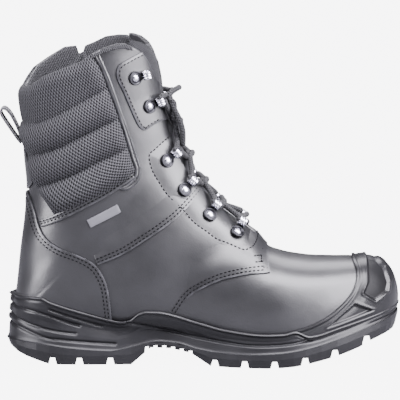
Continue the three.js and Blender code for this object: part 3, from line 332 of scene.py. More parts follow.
# Outlines of the panels in the side view, as in the CAD model
COLLAR_LATERAL = side([
    [-0.05, 0.800], [0.030, 0.815], [0.068, 0.830], [0.107, 0.870], [0.135, 0.888], [0.190, 0.917],
    [0.224, 0.949], [0.253, 0.969], [0.286, 0.982], [0.308, 0.982],
])
COLLAR_MEDIAL = side([
    [-0.05, 0.800], [0.030, 0.815], [0.050, 0.823], [0.060, 0.848], [0.074, 0.876], [0.107, 0.906],
    [0.147, 0.938], [0.177, 0.942], [0.184, 0.910], [0.188, 0.868], [0.192, 0.908], [0.199, 0.941],
    [0.224, 0.955], [0.253, 0.975], [0.286, 0.982], [0.308, 0.982],
])
FACING_TOP = side([
    [0.328, 0.969], [0.344, 0.955], [0.357, 0.928], [0.370, 0.890], [0.380, 0.854], [0.395, 0.830],
    [0.5, 0.830],
])
TONGUE_TOP = side([
    [0.2, 0.985], [0.296, 0.990], [0.331, 0.990], [0.354, 0.983], [0.374, 0.966], [0.389, 0.942],
    [0.400, 0.915], [0.41, 0.90], [0.6, 0.90],
])
CUFF_FRONT = [
    [0.226, 0.943], [0.245, 0.899], [0.262, 0.836], [0.288, 0.733], [0.311, 0.629], [0.322, 0.575],
    [0.329, 0.548], [0.329, 0.526], [0.322, 0.507], [0.309, 0.492],
]
CUFF_BOTTOM = [[0.266, 0.461], [0.205, 0.418], [0.141, 0.378]]
CUFF_REAR = [[0.130, 0.380], [0.099, 0.443], [0.078, 0.483], [0.062, 0.585], [0.045, 0.692]]
CUFF_OUTLINE = side([*CUFF_FRONT, *CUFF_BOTTOM, *CUFF_REAR, [-0.05, 0.692], [-0.05, 1.1], [0.18, 1.1]])
CUFF_GROOVES = [side(line) for line in [
    [[-0.05, 1.1], [0.05, 1.1], [0.1, 1.1], [0.15, 1.1], [0.19, 1.1], [0.222, 0.95]],
    [[-0.05, 0.692], [0.083, 0.696], [0.131, 0.724], [0.181, 0.764], [0.230, 0.804], [0.263, 0.829]],
    [[0.066, 0.585], [0.099, 0.594], [0.149, 0.622], [0.197, 0.661], [0.245, 0.696], [0.289, 0.722]],
    [[0.084, 0.471], [0.131, 0.496], [0.181, 0.527], [0.230, 0.566], [0.278, 0.597], [0.312, 0.618]],
    [[0.134, 0.388], [0.141, 0.386], [0.205, 0.426], [0.266, 0.469], [0.306, 0.500], [0.322, 0.530]],
]]
PIPING_OUTER = side([
    [0.245, 0.990], [0.245, 0.943], [0.268, 0.868], [0.296, 0.756], [0.324, 0.643], [0.339, 0.576],
    [0.345, 0.541], [0.338, 0.500], [0.317, 0.474], [0.300, 0.470], [0.18, 0.60], [0.18, 0.990],
])
HOOK_PATCH = side([
    [0.346, 0.948], [0.324, 0.934], [0.311, 0.924], [0.295, 0.912], [0.288, 0.899], [0.285, 0.874],
    [0.290, 0.850], [0.304, 0.808], [0.323, 0.743], [0.339, 0.695], [0.350, 0.680], [0.356, 0.677],
    [0.369, 0.689], [0.389, 0.703], [0.50, 0.74], [0.50, 0.95],
])
EYESTAY = side([
    [0.413, 0.657], [0.395, 0.639], [0.375, 0.615], [0.362, 0.601], [0.359, 0.578], [0.367, 0.534],
    [0.382, 0.496], [0.406, 0.446], [0.441, 0.397], [0.474, 0.348], [0.505, 0.317], [0.532, 0.290],
    [0.562, 0.274], [0.601, 0.250], [0.617, 0.251], [0.632, 0.260], [0.642, 0.281], [0.646, 0.301],
    [0.70, 0.45], [0.50, 0.70],
])
COUNTER = side([
    [-0.03, 0.448], [0.050, 0.448], [0.064, 0.439], [0.079, 0.391], [0.090, 0.338], [0.107, 0.299],
    [0.141, 0.267], [0.189, 0.243], [0.227, 0.215], [0.250, 0.173], [0.263, 0.123], [0.272, 0.022],
    [0.272, -0.10], [-0.03, -0.10],
])
BACKSTAY = side([
    [-0.03, 0.458], [0.060, 0.458], [0.0735, 0.483], [0.0575, 0.585], [0.0405, 0.686], [-0.03, 0.686],
])
LABEL = side([[0.210, 0.367], [0.286, 0.422], [0.296, 0.394], [0.220, 0.341]])
ZIP_LINE = side([
    [0.187, 0.915], [0.205, 0.664], [0.234, 0.440], [0.269, 0.283], [0.295, 0.126], [0.300, 0.070],
])
ZIP_TAPE_WIDTH = 14 * MM
SIDES = ((False, "lateral", -1), (True, "medial", 1))
HIGH = GAP + OVERLAY
TOE_CAP_REAR = side([
    [0.862, 0.500], [0.868, 0.260], [0.880, 0.215], [0.889, 0.180], [0.886, 0.140], [0.868, 0.096],
    [0.825, 0.042], [0.778, 0.008], [0.735, -0.010],
])
# Seams drawn by their lower or front edge, in millimetres of the side view
VAMP_SEAM = np.array([
    [204.0, 92.0], [205.5, 77.0], [206.6, 73.0], [202.0, 72.4], [188.0, 71.6], [170.0, 68.0], [154.5, 61.5],
    [144.0, 54.5], [134.5, 41.0],
]) * MM
ANKLE_SEAM = np.array([
    [73.0, 79.0], [92.0, 87.0], [110.0, 98.0], [128.0, 110.0], [139.0, 119.0], [153.0, 133.0],
]) * MM
CUFF_SEAM = np.array([
    [30.0, 107.0], [42.0, 112.0], [62.0, 122.5], [83.0, 134.0], [101.5, 146.5],
]) * MM
TONGUE_START = 8.4
TONGUE_OVERLAP = 0.3


def throat_turn(place):
    place = np.asarray(place, float)
    turns = table_rows(THROAT_TURNS[:, None], place - THROAT_START)[..., 0]
    return np.where(place < THROAT_START, 0, turns)


def collar_height(x, medial):
    collar = COLLAR_MEDIAL if medial else COLLAR_LATERAL
    line = np.vstack([collar, FACING_TOP])
    return np.interp(x, line[:, 0], line[:, 1])


def top_place(wrap_at, height_at, low=19.0):
    """The place where each column of a piece meets a height line in the side view."""
    near = np.full(wrap_at(np.float64(low)).shape, low)
    far = np.full(near.shape, float(TOP_PLACE))
    for _ in range(30):
        middle = (near + far) / 2
        point = last_xyz(middle, wrap_at(middle))
        below = point[..., 2] < height_at(point[..., 0])
        near, far = np.where(below, middle, near), np.where(below, far, middle)
    return (near + far) / 2


# Making pieces
def grid(columns, rows):
    """A flat grid, and how far along its two ways each vertex is."""
    bm = bmesh.new()
    bmesh.ops.create_grid(bm, x_segments=columns, y_segments=rows, size=0.5)
    flat = np.array([v.co[:] for v in bm.verts])
    return bm, flat[:, 0] + 0.5, flat[:, 1] + 0.5


def set_points(bm, points):
    for vertex, point in zip(bm.verts, placed(points)):
        vertex.co = point


def store(bm, name, values):
    layer = bm.verts.layers.float.get(name) or bm.verts.layers.float.new(name)
    for vertex, value in zip(bm.verts, values):
        vertex[layer] = value


def stored(bm, name):
    layer = bm.verts.layers.float[name]
    return np.array([v[layer] for v in bm.verts])


def face_outward(bm, place, wrap):
    """Turns the faces of a sheet on the last so that they point away from it."""
    bm.normal_update()
    normals = np.array([v.normal[:] for v in bm.verts])
    if (normals * last_normal(place, wrap)).sum() < 0:
        bmesh.ops.reverse_faces(bm, faces=bm.faces)


def cut_to(bm, keep):
    """Deletes the faces outside a piece's edge and draws the rim's vertices onto it."""
    place, wrap = stored(bm, "place"), stored(bm, "wrap")
    kept = keep(place, wrap)
    bm.verts.index_update()
    outside = [f for f in bm.faces if not any(kept[v.index] for v in f.verts)]
    pairs = {(v.index, w.index) for f in bm.faces for v in f.verts if not kept[v.index]
             for w in f.verts if kept[w.index]}
    pairs = np.array(sorted(pairs))
    if len(pairs):
        out_index, in_index = pairs[:, 0], pairs[:, 1]
        near, far = np.zeros(len(pairs)), np.ones(len(pairs))

        def between(share):
            return (place[in_index] + share * (place[out_index] - place[in_index]),
                    wrap[in_index] + share * (wrap[out_index] - wrap[in_index]))
        for _ in range(14):
            middle = (near + far) / 2
            still = keep(*between(middle))
            near, far = np.where(still, middle, near), np.where(still, far, middle)
        best = {}
        for k, (o, share) in enumerate(zip(out_index, far)):
            if o not in best or share > best[o][0]:
                best[o] = (share, k)
        new_place, new_wrap = between(far)
        for o, (_, k) in best.items():
            place[o], wrap[o] = new_place[k], new_wrap[k]
    store(bm, "place", place)
    store(bm, "wrap", wrap)
    bmesh.ops.delete(bm, geom=outside, context="FACES")
    return stored(bm, "place"), stored(bm, "wrap")


def rim_distance(bm, points):
    """How far each vertex of a sheet is from the sheet's rim."""
    rim = [v.index for v in bm.verts if v.is_boundary]
    tree = KDTree(len(rim))
    for i in rim:
        tree.insert(points[i], i)
    tree.balance()
    return np.array([tree.find(p)[2] for p in points])


def mesh_from(name, bm):
    mesh = bpy.data.meshes.new(name)
    bm.to_mesh(mesh)
    bm.free()
    return mesh


def add_object(name, data):
    made = bpy.data.objects.new(name, data)
    bpy.context.scene.collection.objects.link(made)
    return made


def finish_piece(name, bm, materials, nodes=(), smooth=True):
    """Makes an object of a mesh, parents it to the root body and hides the CAD nodes that it replaces."""
    mesh = mesh_from(name, bm)
    for material in materials:
        mesh.materials.append(material)
    if smooth:
        mesh.polygons.foreach_set("use_smooth", [True] * len(mesh.polygons))
    piece = add_object(name, mesh)
    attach(piece, "root")
    if nodes:
        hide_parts(*nodes)
    return piece


def round_edges(piece, width, degrees, segments=2):
    """Rounds the edges that bend by more than an angle."""
    rounding = piece.modifiers.new("rounding", "BEVEL")
    rounding.width = width
    rounding.segments = segments
    rounding.limit_method = "ANGLE"
    rounding.angle_limit = math.radians(degrees)
    return rounding


def solidify(piece, thickness, bevel=0.0, material_offset=0, segments=2, offset=-1):
    """Gives a sheet its thickness, inward from it unless an offset says otherwise."""
    modifier = piece.modifiers.new("thickness", "SOLIDIFY")
    modifier.thickness = thickness
    modifier.offset = offset
    modifier.use_even_offset = False
    modifier.material_offset = material_offset
    if bevel:
        round_edges(piece, bevel, 50, segments)


def ramp(values, low, high):
    """0 below low, 1 above high and smooth between."""
    t = np.clip((values - low) / (high - low), 0, 1)
    return t * t * (3 - 2 * t)


def bell(values, middle, width):
    """1 at a middle value, falling off smoothly on both sides."""
    return np.exp(-((values - middle) / width) ** 2)


# The girth and height of the leg in metres, so that a weave keeps its scale
GIRTH_WRAPS = np.linspace(-2, 4, 241)
GIRTHS = run_along(last_xyz(23.0, GIRTH_WRAPS))
HEIGHT_PLACES = np.linspace(0, TOP_PLACE, 271)
HEIGHTS = run_along(last_xyz(HEIGHT_PLACES, 1.0))


def set_uv(bm, name, values):
    layer = bm.loops.layers.uv.new(name)
    bm.verts.index_update()
    for face in bm.faces:
        for loop in face.loops:
            loop[layer].uv = values[loop.vert.index]


def cloth_uv(bm, place, wrap):
    """UV in metres round the leg and up it."""
    set_uv(bm, "cloth", np.column_stack([np.interp(wrap, GIRTH_WRAPS, GIRTHS),
                                         np.interp(place, HEIGHT_PLACES, HEIGHTS)]))


def sheet_on_last(span, cell, keep):
    """A grid over a span of the last (from and to place, from and to wrap), cut to a piece's edge."""
    from_place, to_place, from_wrap, to_wrap = span
    middle_place, middle_wrap = (from_place + to_place) / 2, (from_wrap + to_wrap) / 2
    along = np.linspace(from_place, to_place, 60)
    across = np.linspace(from_wrap, to_wrap, 60)
    length = max(line_length(last_xyz(along, w)) for w in (from_wrap, middle_wrap, to_wrap))
    width = max(line_length(last_xyz(p, across)) for p in (from_place, middle_place, to_place))
    bm, u, v = grid(max(4, round(width / cell)), max(4, round(length / cell)))
    store(bm, "wrap", from_wrap + u * (to_wrap - from_wrap))
    store(bm, "place", from_place + v * (to_place - from_place))
    place, wrap = cut_to(bm, keep)
    return bm, place, wrap


def panel(name, outline, span, cell, profile, *nodes, thickness=OVERLAY, material=None,
          slot="smooth_leather", bevel=0.35 * MM, extra_keep=None):
    """A panel over the last, from its edge in the side view and its height by the distance from its rim."""
    def keep(place, wrap):
        kept = inside(outline, side_view(place, wrap))
        return kept & extra_keep(place, wrap) if extra_keep else kept
    bm, place, wrap = sheet_on_last(span, cell, keep)
    rim = rim_distance(bm, last_xyz(place, wrap))
    store(bm, "rim", rim)
    set_points(bm, last_at(place, wrap, profile(rim, place, wrap)))
    face_outward(bm, place, wrap)
    piece = finish_piece(name, bm, [material or PANEL_LEATHER], nodes)
    solidify(piece, thickness, bevel)


def offset_line(line, distance):
    """A line moved sideways in the side view, to its left where the distance is positive."""
    tangent = directions(line)
    return line + np.column_stack([-tangent[:, 1], tangent[:, 0]]) * distance


def on_last(line, medial, height):
    """A side-view line laid on one side of the last at a height, and the outward directions along it."""
    place, wrap = locate(line, medial)
    return last_at(place, wrap, np.broadcast_to(height, len(place))), last_normal(place, wrap)


STITCH_PITCH = 3.3 * MM
STITCH_LENGTH = 2.5 * MM
STITCH_WIDTH = 1.15 * MM
STITCH_RISE = 0.32  # share of a stitch's width that it stands out


def axes_matrix(first, second, third, centre):
    """The matrix that takes the three unit axes to three vectors about a centre."""
    columns = [[*first, 0], [*second, 0], [*third, 0], [*centre, 1]]
    return Matrix(np.column_stack(columns).tolist())


def add_stitches(bm, line, medial, height, pitch=STITCH_PITCH):
    """A row of stitches along a side-view line, standing a little proud of the piece."""
    points, normals = on_last(line, medial, height)
    run = run_along(points)
    for middle in np.arange(pitch / 2, run[-1], pitch):
        start, end = (read_along(points, run, middle + d) for d in (-STITCH_LENGTH / 2, STITCH_LENGTH / 2))
        normal = read_along(normals, run, middle)
        along = (end - start) / max(np.linalg.norm(end - start), 1e-9)
        across = np.cross(normal, along)
        matrix = axes_matrix(along * STITCH_LENGTH / 2, across * STITCH_WIDTH / 2,
                             normal * STITCH_WIDTH * STITCH_RISE, placed((start + end) / 2))
        bmesh.ops.create_uvsphere(bm, u_segments=6, v_segments=4, radius=1.0, matrix=matrix)


def tube_mesh(points, radii, sides=12):
    """A round cord along points, closed at its ends, with a UV map along and round it."""
    points = np.asarray(points, float)
    count = len(points)
    tangents = directions(points)
    across = np.cross(tangents[0], [0.0, 0.0, 1.0])
    if np.linalg.norm(across) < 0.2:
        across = np.cross(tangents[0], [0.0, 1.0, 0.0])
    frames = []
    for tangent in tangents:
        across = across - tangent * (across @ tangent)
        across /= np.linalg.norm(across)
        frames.append((across, np.cross(tangent, across)))
    bm, u, v = grid(count - 1, sides)
    station = np.round(u * (count - 1)).astype(int)
    angle = v * 2 * math.pi
    first = np.array([f[0] for f in frames])[station]
    second = np.array([f[1] for f in frames])[station]
    radius = np.asarray(radii, float)[station][:, None]
    where = points[station] + radius * (np.cos(angle)[:, None] * first + np.sin(angle)[:, None] * second)
    set_uv(bm, "cord", np.column_stack([run_along(points)[station], v]))
    set_points(bm, where)
    bmesh.ops.remove_doubles(bm, verts=bm.verts, dist=1e-7)
    bmesh.ops.recalc_face_normals(bm, faces=bm.faces)
    return bm


CORD_STEP = 1.1 * MM


def cord_piece(points, radius):
    """A cord's mesh with rounded ends, from a few points of its route."""
    dense = smooth_line(points, 12)
    run = run_along(dense)
    ends = radius * (1 - np.cos(np.linspace(0, math.pi / 2, 5)))
    between = np.linspace(radius, run[-1] - radius, max(4, round(run[-1] / CORD_STEP)))
    stations = np.unique(np.concatenate([ends, between, run[-1] - ends]))
    route = read_along(dense, run, stations)
    from_end = np.minimum(stations, run[-1] - stations)
    share = np.clip(from_end / radius, 0, 1)
    radii = radius * np.sqrt(np.maximum(0, 1 - (1 - share) ** 2))
    return tube_mesh(route, radii), route


def add_mesh(whole, part):
    """Puts one mesh into another."""
    mesh = mesh_from("part", part)
    whole.from_mesh(mesh)
    bpy.data.meshes.remove(mesh)


def join_meshes(parts):
    """Several meshes as one."""
    whole = bmesh.new()
    for part in parts:
        add_mesh(whole, part)
    return whole


# Materials
def new_group(name, inputs, outputs):
    """A node group for an effect that several materials share."""
    tree = bpy.data.node_groups.new(name, "ShaderNodeTree")
    for label, value in inputs.items():
        socket = tree.interface.new_socket(label, in_out="INPUT", socket_type="NodeSocketFloat")
        socket.default_value = value
    for label in outputs:
        kind = "NodeSocketVector" if label == "Normal" else "NodeSocketFloat"
        tree.interface.new_socket(label, in_out="OUTPUT", socket_type=kind)
    return tree, tree.nodes.new("NodeGroupInput").outputs, tree.nodes.new("NodeGroupOutput").inputs


def node(tree, kind, inputs=None, **settings):
    """A shader node with its settings and its inputs, which are values or other nodes' sockets."""
    made = tree.nodes.new(kind)
    for key, value in settings.items():
        setattr(made, key, value)
    for key, value in (inputs or {}).items():
        if isinstance(value, bpy.types.NodeSocket):
            tree.links.new(value, made.inputs[key])
        else:
            made.inputs[key].default_value = value
    return made


def mix_colour(tree, factor, first, second):
    return node(tree, "ShaderNodeMix", {0: factor, 6: first, 7: second}, data_type="RGBA").outputs[2]


def maths(tree, operation, first, second=0.0, clamp=False):
    made = node(tree, "ShaderNodeMath", {0: first, 1: second}, operation=operation, use_clamp=clamp)
    return made.outputs[0]


def sine(tree, value, rate):
    return maths(tree, "SINE", maths(tree, "MULTIPLY", value, rate))


def object_coords(tree):
    return node(tree, "ShaderNodeTexCoord").outputs["Object"]


def noise(tree, coords, scale, detail, roughness=0.5):
    inputs = {"Vector": coords, "Scale": scale, "Detail": detail, "Roughness": roughness}
    return node(tree, "ShaderNodeTexNoise", inputs).outputs["Fac"]


def bump(tree, height, strength, distance, under=None):
    """The normal of a bump, over another bump's normal or none."""
    inputs = {"Height": height, "Strength": strength, "Distance": distance}
    if under is not None:
        inputs["Normal"] = under
    return node(tree, "ShaderNodeBump", inputs).outputs["Normal"]


def split_axes(tree, vector):
    return node(tree, "ShaderNodeSeparateXYZ", {"Vector": vector}).outputs


def dress(tree, shader, colour, roughness, normal):
    """Links a colour, a roughness and a normal to a material's shader."""
    for socket, name in ((colour, "Base Color"), (roughness, "Roughness"), (normal, "Normal")):
        tree.links.new(socket, shader.inputs[name])


def remap(tree, value, low, high, to_low=0.0, to_high=1.0):
    return node(tree, "ShaderNodeMapRange", {"Value": value, "From Min": low, "From Max": high,
                                             "To Min": to_low, "To Max": to_high}).outputs["Result"]


def make_grain_group():
    """Leather grain: fine pebbles, finer pores and slow waves, as a normal and as masks."""
    tree, inward, outward = new_group(
        "leather_grain", {"Pebbles": 900.0, "Depth": 0.25, "Waves": 22.0}, ["Normal", "Cloud", "Pores"])
    coords = object_coords(tree)
    pebbles = node(tree, "ShaderNodeTexVoronoi", {"Vector": coords, "Scale": inward["Pebbles"]},
                   feature="SMOOTH_F1").outputs["Distance"]
    fine = noise(tree, coords, 2600.0, 3.0)
    slow = noise(tree, coords, inward["Waves"], 3.0, 0.55)
    height = maths(tree, "ADD", maths(tree, "MULTIPLY", pebbles, 0.7), maths(tree, "MULTIPLY", fine, 0.35))
    fine_bump = bump(tree, height, inward["Depth"], 0.00025)
    tree.links.new(bump(tree, slow, 0.22, 0.004, fine_bump), outward["Normal"])
    tree.links.new(slow, outward["Cloud"])
    tree.links.new(fine, outward["Pores"])
    return tree


def make_rim_group():
    """A mask along a panel's rim, broken up as rubbed edges are: it marks rubbed wear and a painted highlight
    along the raised edge.
    """
    tree, inward, outward = new_group("rubbed_and_highlit_rim", {"Width": 0.0015}, ["Mask"])
    rim = node(tree, "ShaderNodeAttribute", attribute_name="rim").outputs["Fac"]
    near = maths(tree, "SUBTRACT", 1.0, maths(tree, "DIVIDE", rim, inward["Width"]), clamp=True)
    broken = remap(tree, noise(tree, object_coords(tree), 160.0, 4.0), 0.35, 0.65)
    tree.links.new(maths(tree, "MULTIPLY", near, broken, clamp=True), outward["Mask"])
    return tree


def make_weave_group():
    """Spacer mesh: rows of small oval holes between threads, from a UV map in metres."""
    tree, inward, outward = new_group(
        "spacer_mesh", {"Across": 0.0021, "Along": 0.0017, "Lean": 0.4}, ["Holes", "Height"])
    split = split_axes(tree, node(tree, "ShaderNodeUVMap", uv_map="cloth").outputs["UV"])
    leaning = maths(tree, "ADD", split["X"], maths(tree, "MULTIPLY", split["Y"], inward["Lean"]))
    column = maths(tree, "DIVIDE", leaning, inward["Across"])
    half_row = maths(tree, "MULTIPLY", maths(tree, "DIVIDE", split["Y"], inward["Along"]), 0.5)
    first = sine(tree, maths(tree, "ADD", column, half_row), 2 * math.pi)
    second = sine(tree, maths(tree, "SUBTRACT", column, half_row), 2 * math.pi)
    cells = maths(tree, "MULTIPLY", maths(tree, "ADD", first, second), 0.5)
    tree.links.new(remap(tree, cells, -0.15, 0.35), outward["Holes"])
    tree.links.new(remap(tree, cells, 0.8, -0.8), outward["Height"])
    return tree


GRAIN = make_grain_group()
RIM = make_rim_group()
WEAVE = make_weave_group()


def new_material(name, **values):
    material = bpy.data.materials.new(name)
    material.use_nodes = True
    tree = material.node_tree
    shader = next(n for n in tree.nodes if n.type == "BSDF_PRINCIPLED")
    for key, value in values.items():
        shader.inputs[key.replace("_", " ")].default_value = value
    return material, tree, shader


def group_node(tree, group, **values):
    return node(tree, "ShaderNodeGroup", values, node_tree=group)


def grey(value, blue=1.12):
    return (value * 1.01, value, value * blue, 1.0)


def make_leather(name, base, rim_wear_and_highlight, roughness, depth, rim=False):
    """Smooth black leather: fine grain, uneven gloss, and a paler rim on the panels, partly rubbed wear and
    partly a painted highlight on the raised edge.
    """
    material, tree, shader = new_material(name, Coat_Weight=0.35, Coat_Roughness=0.26, Specular_IOR_Level=0.6)
    grain = group_node(tree, GRAIN, Depth=depth).outputs
    colour = mix_colour(tree, remap(tree, grain["Cloud"], 0.3, 0.7), grey(base * 0.82), grey(base * 1.2))
    pores = remap(tree, grain["Pores"], 0.62, 0.75, 0.0, 0.35)
    colour = mix_colour(tree, pores, colour, grey(base * 0.5))
    if rim:
        # The paler rim is partly rubbed wear and partly a painted highlight along the raised edge.
        mask = group_node(tree, RIM, Width=0.0016).outputs["Mask"]
        colour = mix_colour(tree, maths(tree, "MULTIPLY", mask, 0.8), colour, grey(rim_wear_and_highlight))
    uneven = remap(tree, grain["Cloud"], 0.25, 0.75, roughness - 0.06, roughness + 0.07)
    dress(tree, shader, colour, uneven, grain["Normal"])
    return material


def make_rubber(name, base, roughness, speckle, gloss=0.5):
    """Moulded rubber or nylon: slow patches in tone and gloss, and a fine speckle."""
    material, tree, shader = new_material(name, Specular_IOR_Level=gloss)
    coords = object_coords(tree)
    cloud = noise(tree, coords, 30.0, 5.0)
    colour = mix_colour(tree, remap(tree, cloud, 0.3, 0.7), grey(base * 0.8), grey(base * 1.25))
    uneven = remap(tree, cloud, 0.3, 0.7, roughness - 0.06, roughness + 0.08)
    dress(tree, shader, colour, uneven, bump(tree, noise(tree, coords, 1800.0, 4.0), speckle, 0.0002))
    return material


def make_mesh_fabric(name, thread, hole_shade, across, along, lean):
    """Spacer mesh with threads and holes of its own tones and size; the near-black tone in the holes is
    painted shade.
    """
    material, tree, shader = new_material(
        name, Sheen_Weight=0.04, Sheen_Roughness=0.4, Specular_IOR_Level=0.25)
    weave = group_node(tree, WEAVE, Across=across, Along=along, Lean=lean).outputs
    fuzz = noise(tree, object_coords(tree), 3000.0, 2.0)
    threads = mix_colour(tree, fuzz, grey(thread * 0.75), grey(thread * 1.3))
    # The holes are painted near-black: the shade inside them.
    colour = mix_colour(tree, weave["Holes"], threads, grey(hole_shade))
    roughness = remap(tree, weave["Holes"], 0.0, 1.0, 0.55, 0.95)
    dress(tree, shader, colour, roughness, bump(tree, weave["Height"], 0.9, 0.0006))
    return material


def make_textile(name, base, rate):
    """Closely woven cloth without a UV map."""
    material, tree, shader = new_material(
        name, Sheen_Weight=0.3, Sheen_Roughness=0.5, Specular_IOR_Level=0.25)
    coords = object_coords(tree)
    split = split_axes(tree, coords)
    across = sine(tree, maths(tree, "ADD", split["X"], split["Y"]), rate)
    weave = maths(tree, "MULTIPLY", across, sine(tree, split["Z"], rate))
    worn = noise(tree, coords, 700.0, 4.0)
    colour = mix_colour(tree, remap(tree, weave, -0.8, 0.8), grey(base * 0.7), grey(base * 1.3))
    colour = mix_colour(tree, remap(tree, worn, 0.45, 0.7, 0.0, 0.4), colour, grey(base * 0.5))
    roughness = remap(tree, worn, 0.3, 0.7, 0.75, 0.95)
    dress(tree, shader, colour, roughness, bump(tree, weave, 0.6, 0.0003))
    return material


def make_cord(name, base, pitch):
    """Braided lace: crossing strands from the cord's own UV map, with painted shade in the gaps between the
    strands.
    """
    material, tree, shader = new_material(name, Sheen_Weight=0.06, Specular_IOR_Level=0.3)
    split = split_axes(tree, node(tree, "ShaderNodeUVMap", uv_map="cord").outputs["UV"])
    run = maths(tree, "MULTIPLY", split["X"], 2 * math.pi / pitch)
    around = maths(tree, "MULTIPLY", split["Y"], 2 * math.pi * 4)
    first = maths(tree, "SINE", maths(tree, "ADD", run, around))
    second = maths(tree, "SINE", maths(tree, "SUBTRACT", run, around))
    strands = maths(tree, "MAXIMUM", first, second)
    # The gaps between strands are painted much darker than their tops: painted shade between the strands.
    colour = mix_colour(tree, remap(tree, strands, -0.2, 0.9), grey(base * 0.35), grey(base * 1.35))
    roughness = remap(tree, strands, -0.5, 1.0, 0.9, 0.6)
    dress(tree, shader, colour, roughness, bump(tree, strands, 0.8, 0.0005))
    return material


def make_metal(name, base, roughness):
    """Plated metal with light tarnish and fine scratches."""
    material, tree, shader = new_material(name, Metallic=1.0)
    coords = object_coords(tree)
    tarnish = noise(tree, coords, 500.0, 4.0)
    colour = mix_colour(tree, remap(tree, tarnish, 0.4, 0.75), grey(base), grey(base * 0.6))
    uneven = remap(tree, tarnish, 0.3, 0.7, roughness, roughness + 0.18)
    dress(tree, shader, colour, uneven, bump(tree, noise(tree, coords, 2500.0, 2.0), 0.15, 0.0001))
    return material


# The third value is the paler rim's tone, rubbed wear and a painted highlight; only the panel leather has the
# rim.
LEATHER = make_leather("smooth_black_leather", 0.010, 0.05, 0.38, 0.22)
PANEL_LEATHER = make_leather("panel_leather", 0.010, 0.06, 0.38, 0.22, rim=True)
LINING = make_textile("lining_cloth", 0.020, 3600.0)
# The second tone of each mesh is the painted shade in its holes.
CUFF_MESH = make_mesh_fabric("cuff_spacer_mesh", 0.034, 0.0008, 0.0024, 0.0021, 0.35)
COLLAR_MESH = make_mesh_fabric("collar_mesh", 0.024, 0.001, 0.0017, 0.0015, 0.0)
TONGUE_CLOTH = make_mesh_fabric("tongue_mesh", 0.026, 0.001, 0.0016, 0.0014, 0.0)
WEBBING = make_textile("loop_webbing", 0.055, 5200.0)
SOLE_RUBBER = make_rubber("sole_rubber", 0.009, 0.36, 0.18, 0.32)
CAP_RUBBER = make_rubber("toe_cap_rubber", 0.008, 0.30, 0.08, 0.38)
# A darker, duller rubber for the toe cap's upper recess: painted shade in that recess.
RECESS_SHADE_RUBBER = make_rubber("toe_cap_recess_painted_shade", 0.005, 0.50, 0.25, 0.12)
THREAD = make_rubber("stitching_thread", 0.004, 0.80, 0.4, 0.08)
BRIGHT_METAL = make_metal("bright_plated_metal", 0.88, 0.14)
DARK_METAL = make_metal("dark_plated_metal", 0.03, 0.25)
LABEL_FILM = make_rubber("label_film", 0.075, 0.5, 0.2)
LACE = make_cord("lace_braid", 0.015, 0.0022)
FOAM = make_textile("insole_cloth", 0.020, 2800.0)
ZIP_TAPE = make_textile("zip_tape_cloth", 0.018, 5200.0)
ZIP_TEETH = make_rubber("zip_coil_nylon", 0.045, 0.35, 0.1)


# The upper
UPPER_COLUMNS = 92
UPPER_ROWS = 200
OPEN_ROWS = 119  # rows from the toe up to where the sections close
# Middle in the side view (mm), direction in degrees, half length and half width (mm), depth (mm)
CREASES = [
    ((120.0, 118.0), 40, 30, 11.0, 0.45), ((164.0, 88.0), 24, 30, 12.0, 0.4),
    ((212.0, 60.0), 8, 26, 12.0, 0.35),
]


def crease_relief(xz):
    """Soft troughs where the leather flexes, with a low ridge on each side."""
    relief = np.zeros(xz.shape[:-1])
    for (x, z), lean, length, width, depth in CREASES:
        angle = math.radians(lean)
        offset = xz - np.array([x, z]) * MM
        along = (offset @ np.array([math.cos(angle), math.sin(angle)])) / (length * MM)
        across = (offset @ np.array([-math.sin(angle), math.cos(angle)])) / (width * MM)
        bend = across + 0.35 * along ** 2
        relief += depth * MM * np.exp(-along ** 2) * (1.5 * bend ** 2 - 1) * np.exp(-bend ** 2 * 1.5) * 0.7
    return relief


def make_upper():
    whole = []
    for medial, _, sign in SIDES:
        bm, u, v = grid(UPPER_COLUMNS, UPPER_ROWS)
        marks = np.unique(np.concatenate([
            np.linspace(0, THROAT_START, 61), np.linspace(THROAT_START, FIRST_CLOSED, 61),
            np.linspace(FIRST_CLOSED, TOP_PLACE, UPPER_ROWS - OPEN_ROWS)]))
        place = marks[np.round(v * UPPER_ROWS).astype(int)]

        def wrap_for(at, share=u):
            throat = throat_turn(at)
            return sign * (throat + share * (2 - throat))
        shares = np.unique(u)
        tops = top_place(lambda p: wrap_for(p, shares), lambda x: collar_height(x, medial))
        top = np.interp(u, shares, tops)
        shaft = FIRST_CLOSED + (place - FIRST_CLOSED) * (top - FIRST_CLOSED) / (TOP_PLACE - FIRST_CLOSED)
        place = np.where(place > FIRST_CLOSED, shaft, place)
        wrap = wrap_for(place)
        fade = ramp(np.abs(wrap), 0.15, 0.5) * ramp(2 - np.abs(wrap), 0.0, 0.3)
        set_points(bm, last_at(place, wrap, crease_relief(side_view(place, wrap)) * fade))
        face_outward(bm, place, wrap)
        whole.append(bm)
    bm = join_meshes(whole)
    bmesh.ops.remove_doubles(bm, verts=bm.verts, dist=2e-5)
    piece = finish_piece("boot_upper", bm, [LEATHER, LINING], ["upper"])
    solidify(piece, UPPER_WALL, material_offset=1)


LAP_END_FADE = 18 * MM  # how far from its ends a lap fades
STRIP_BEAD = 0.5 * MM


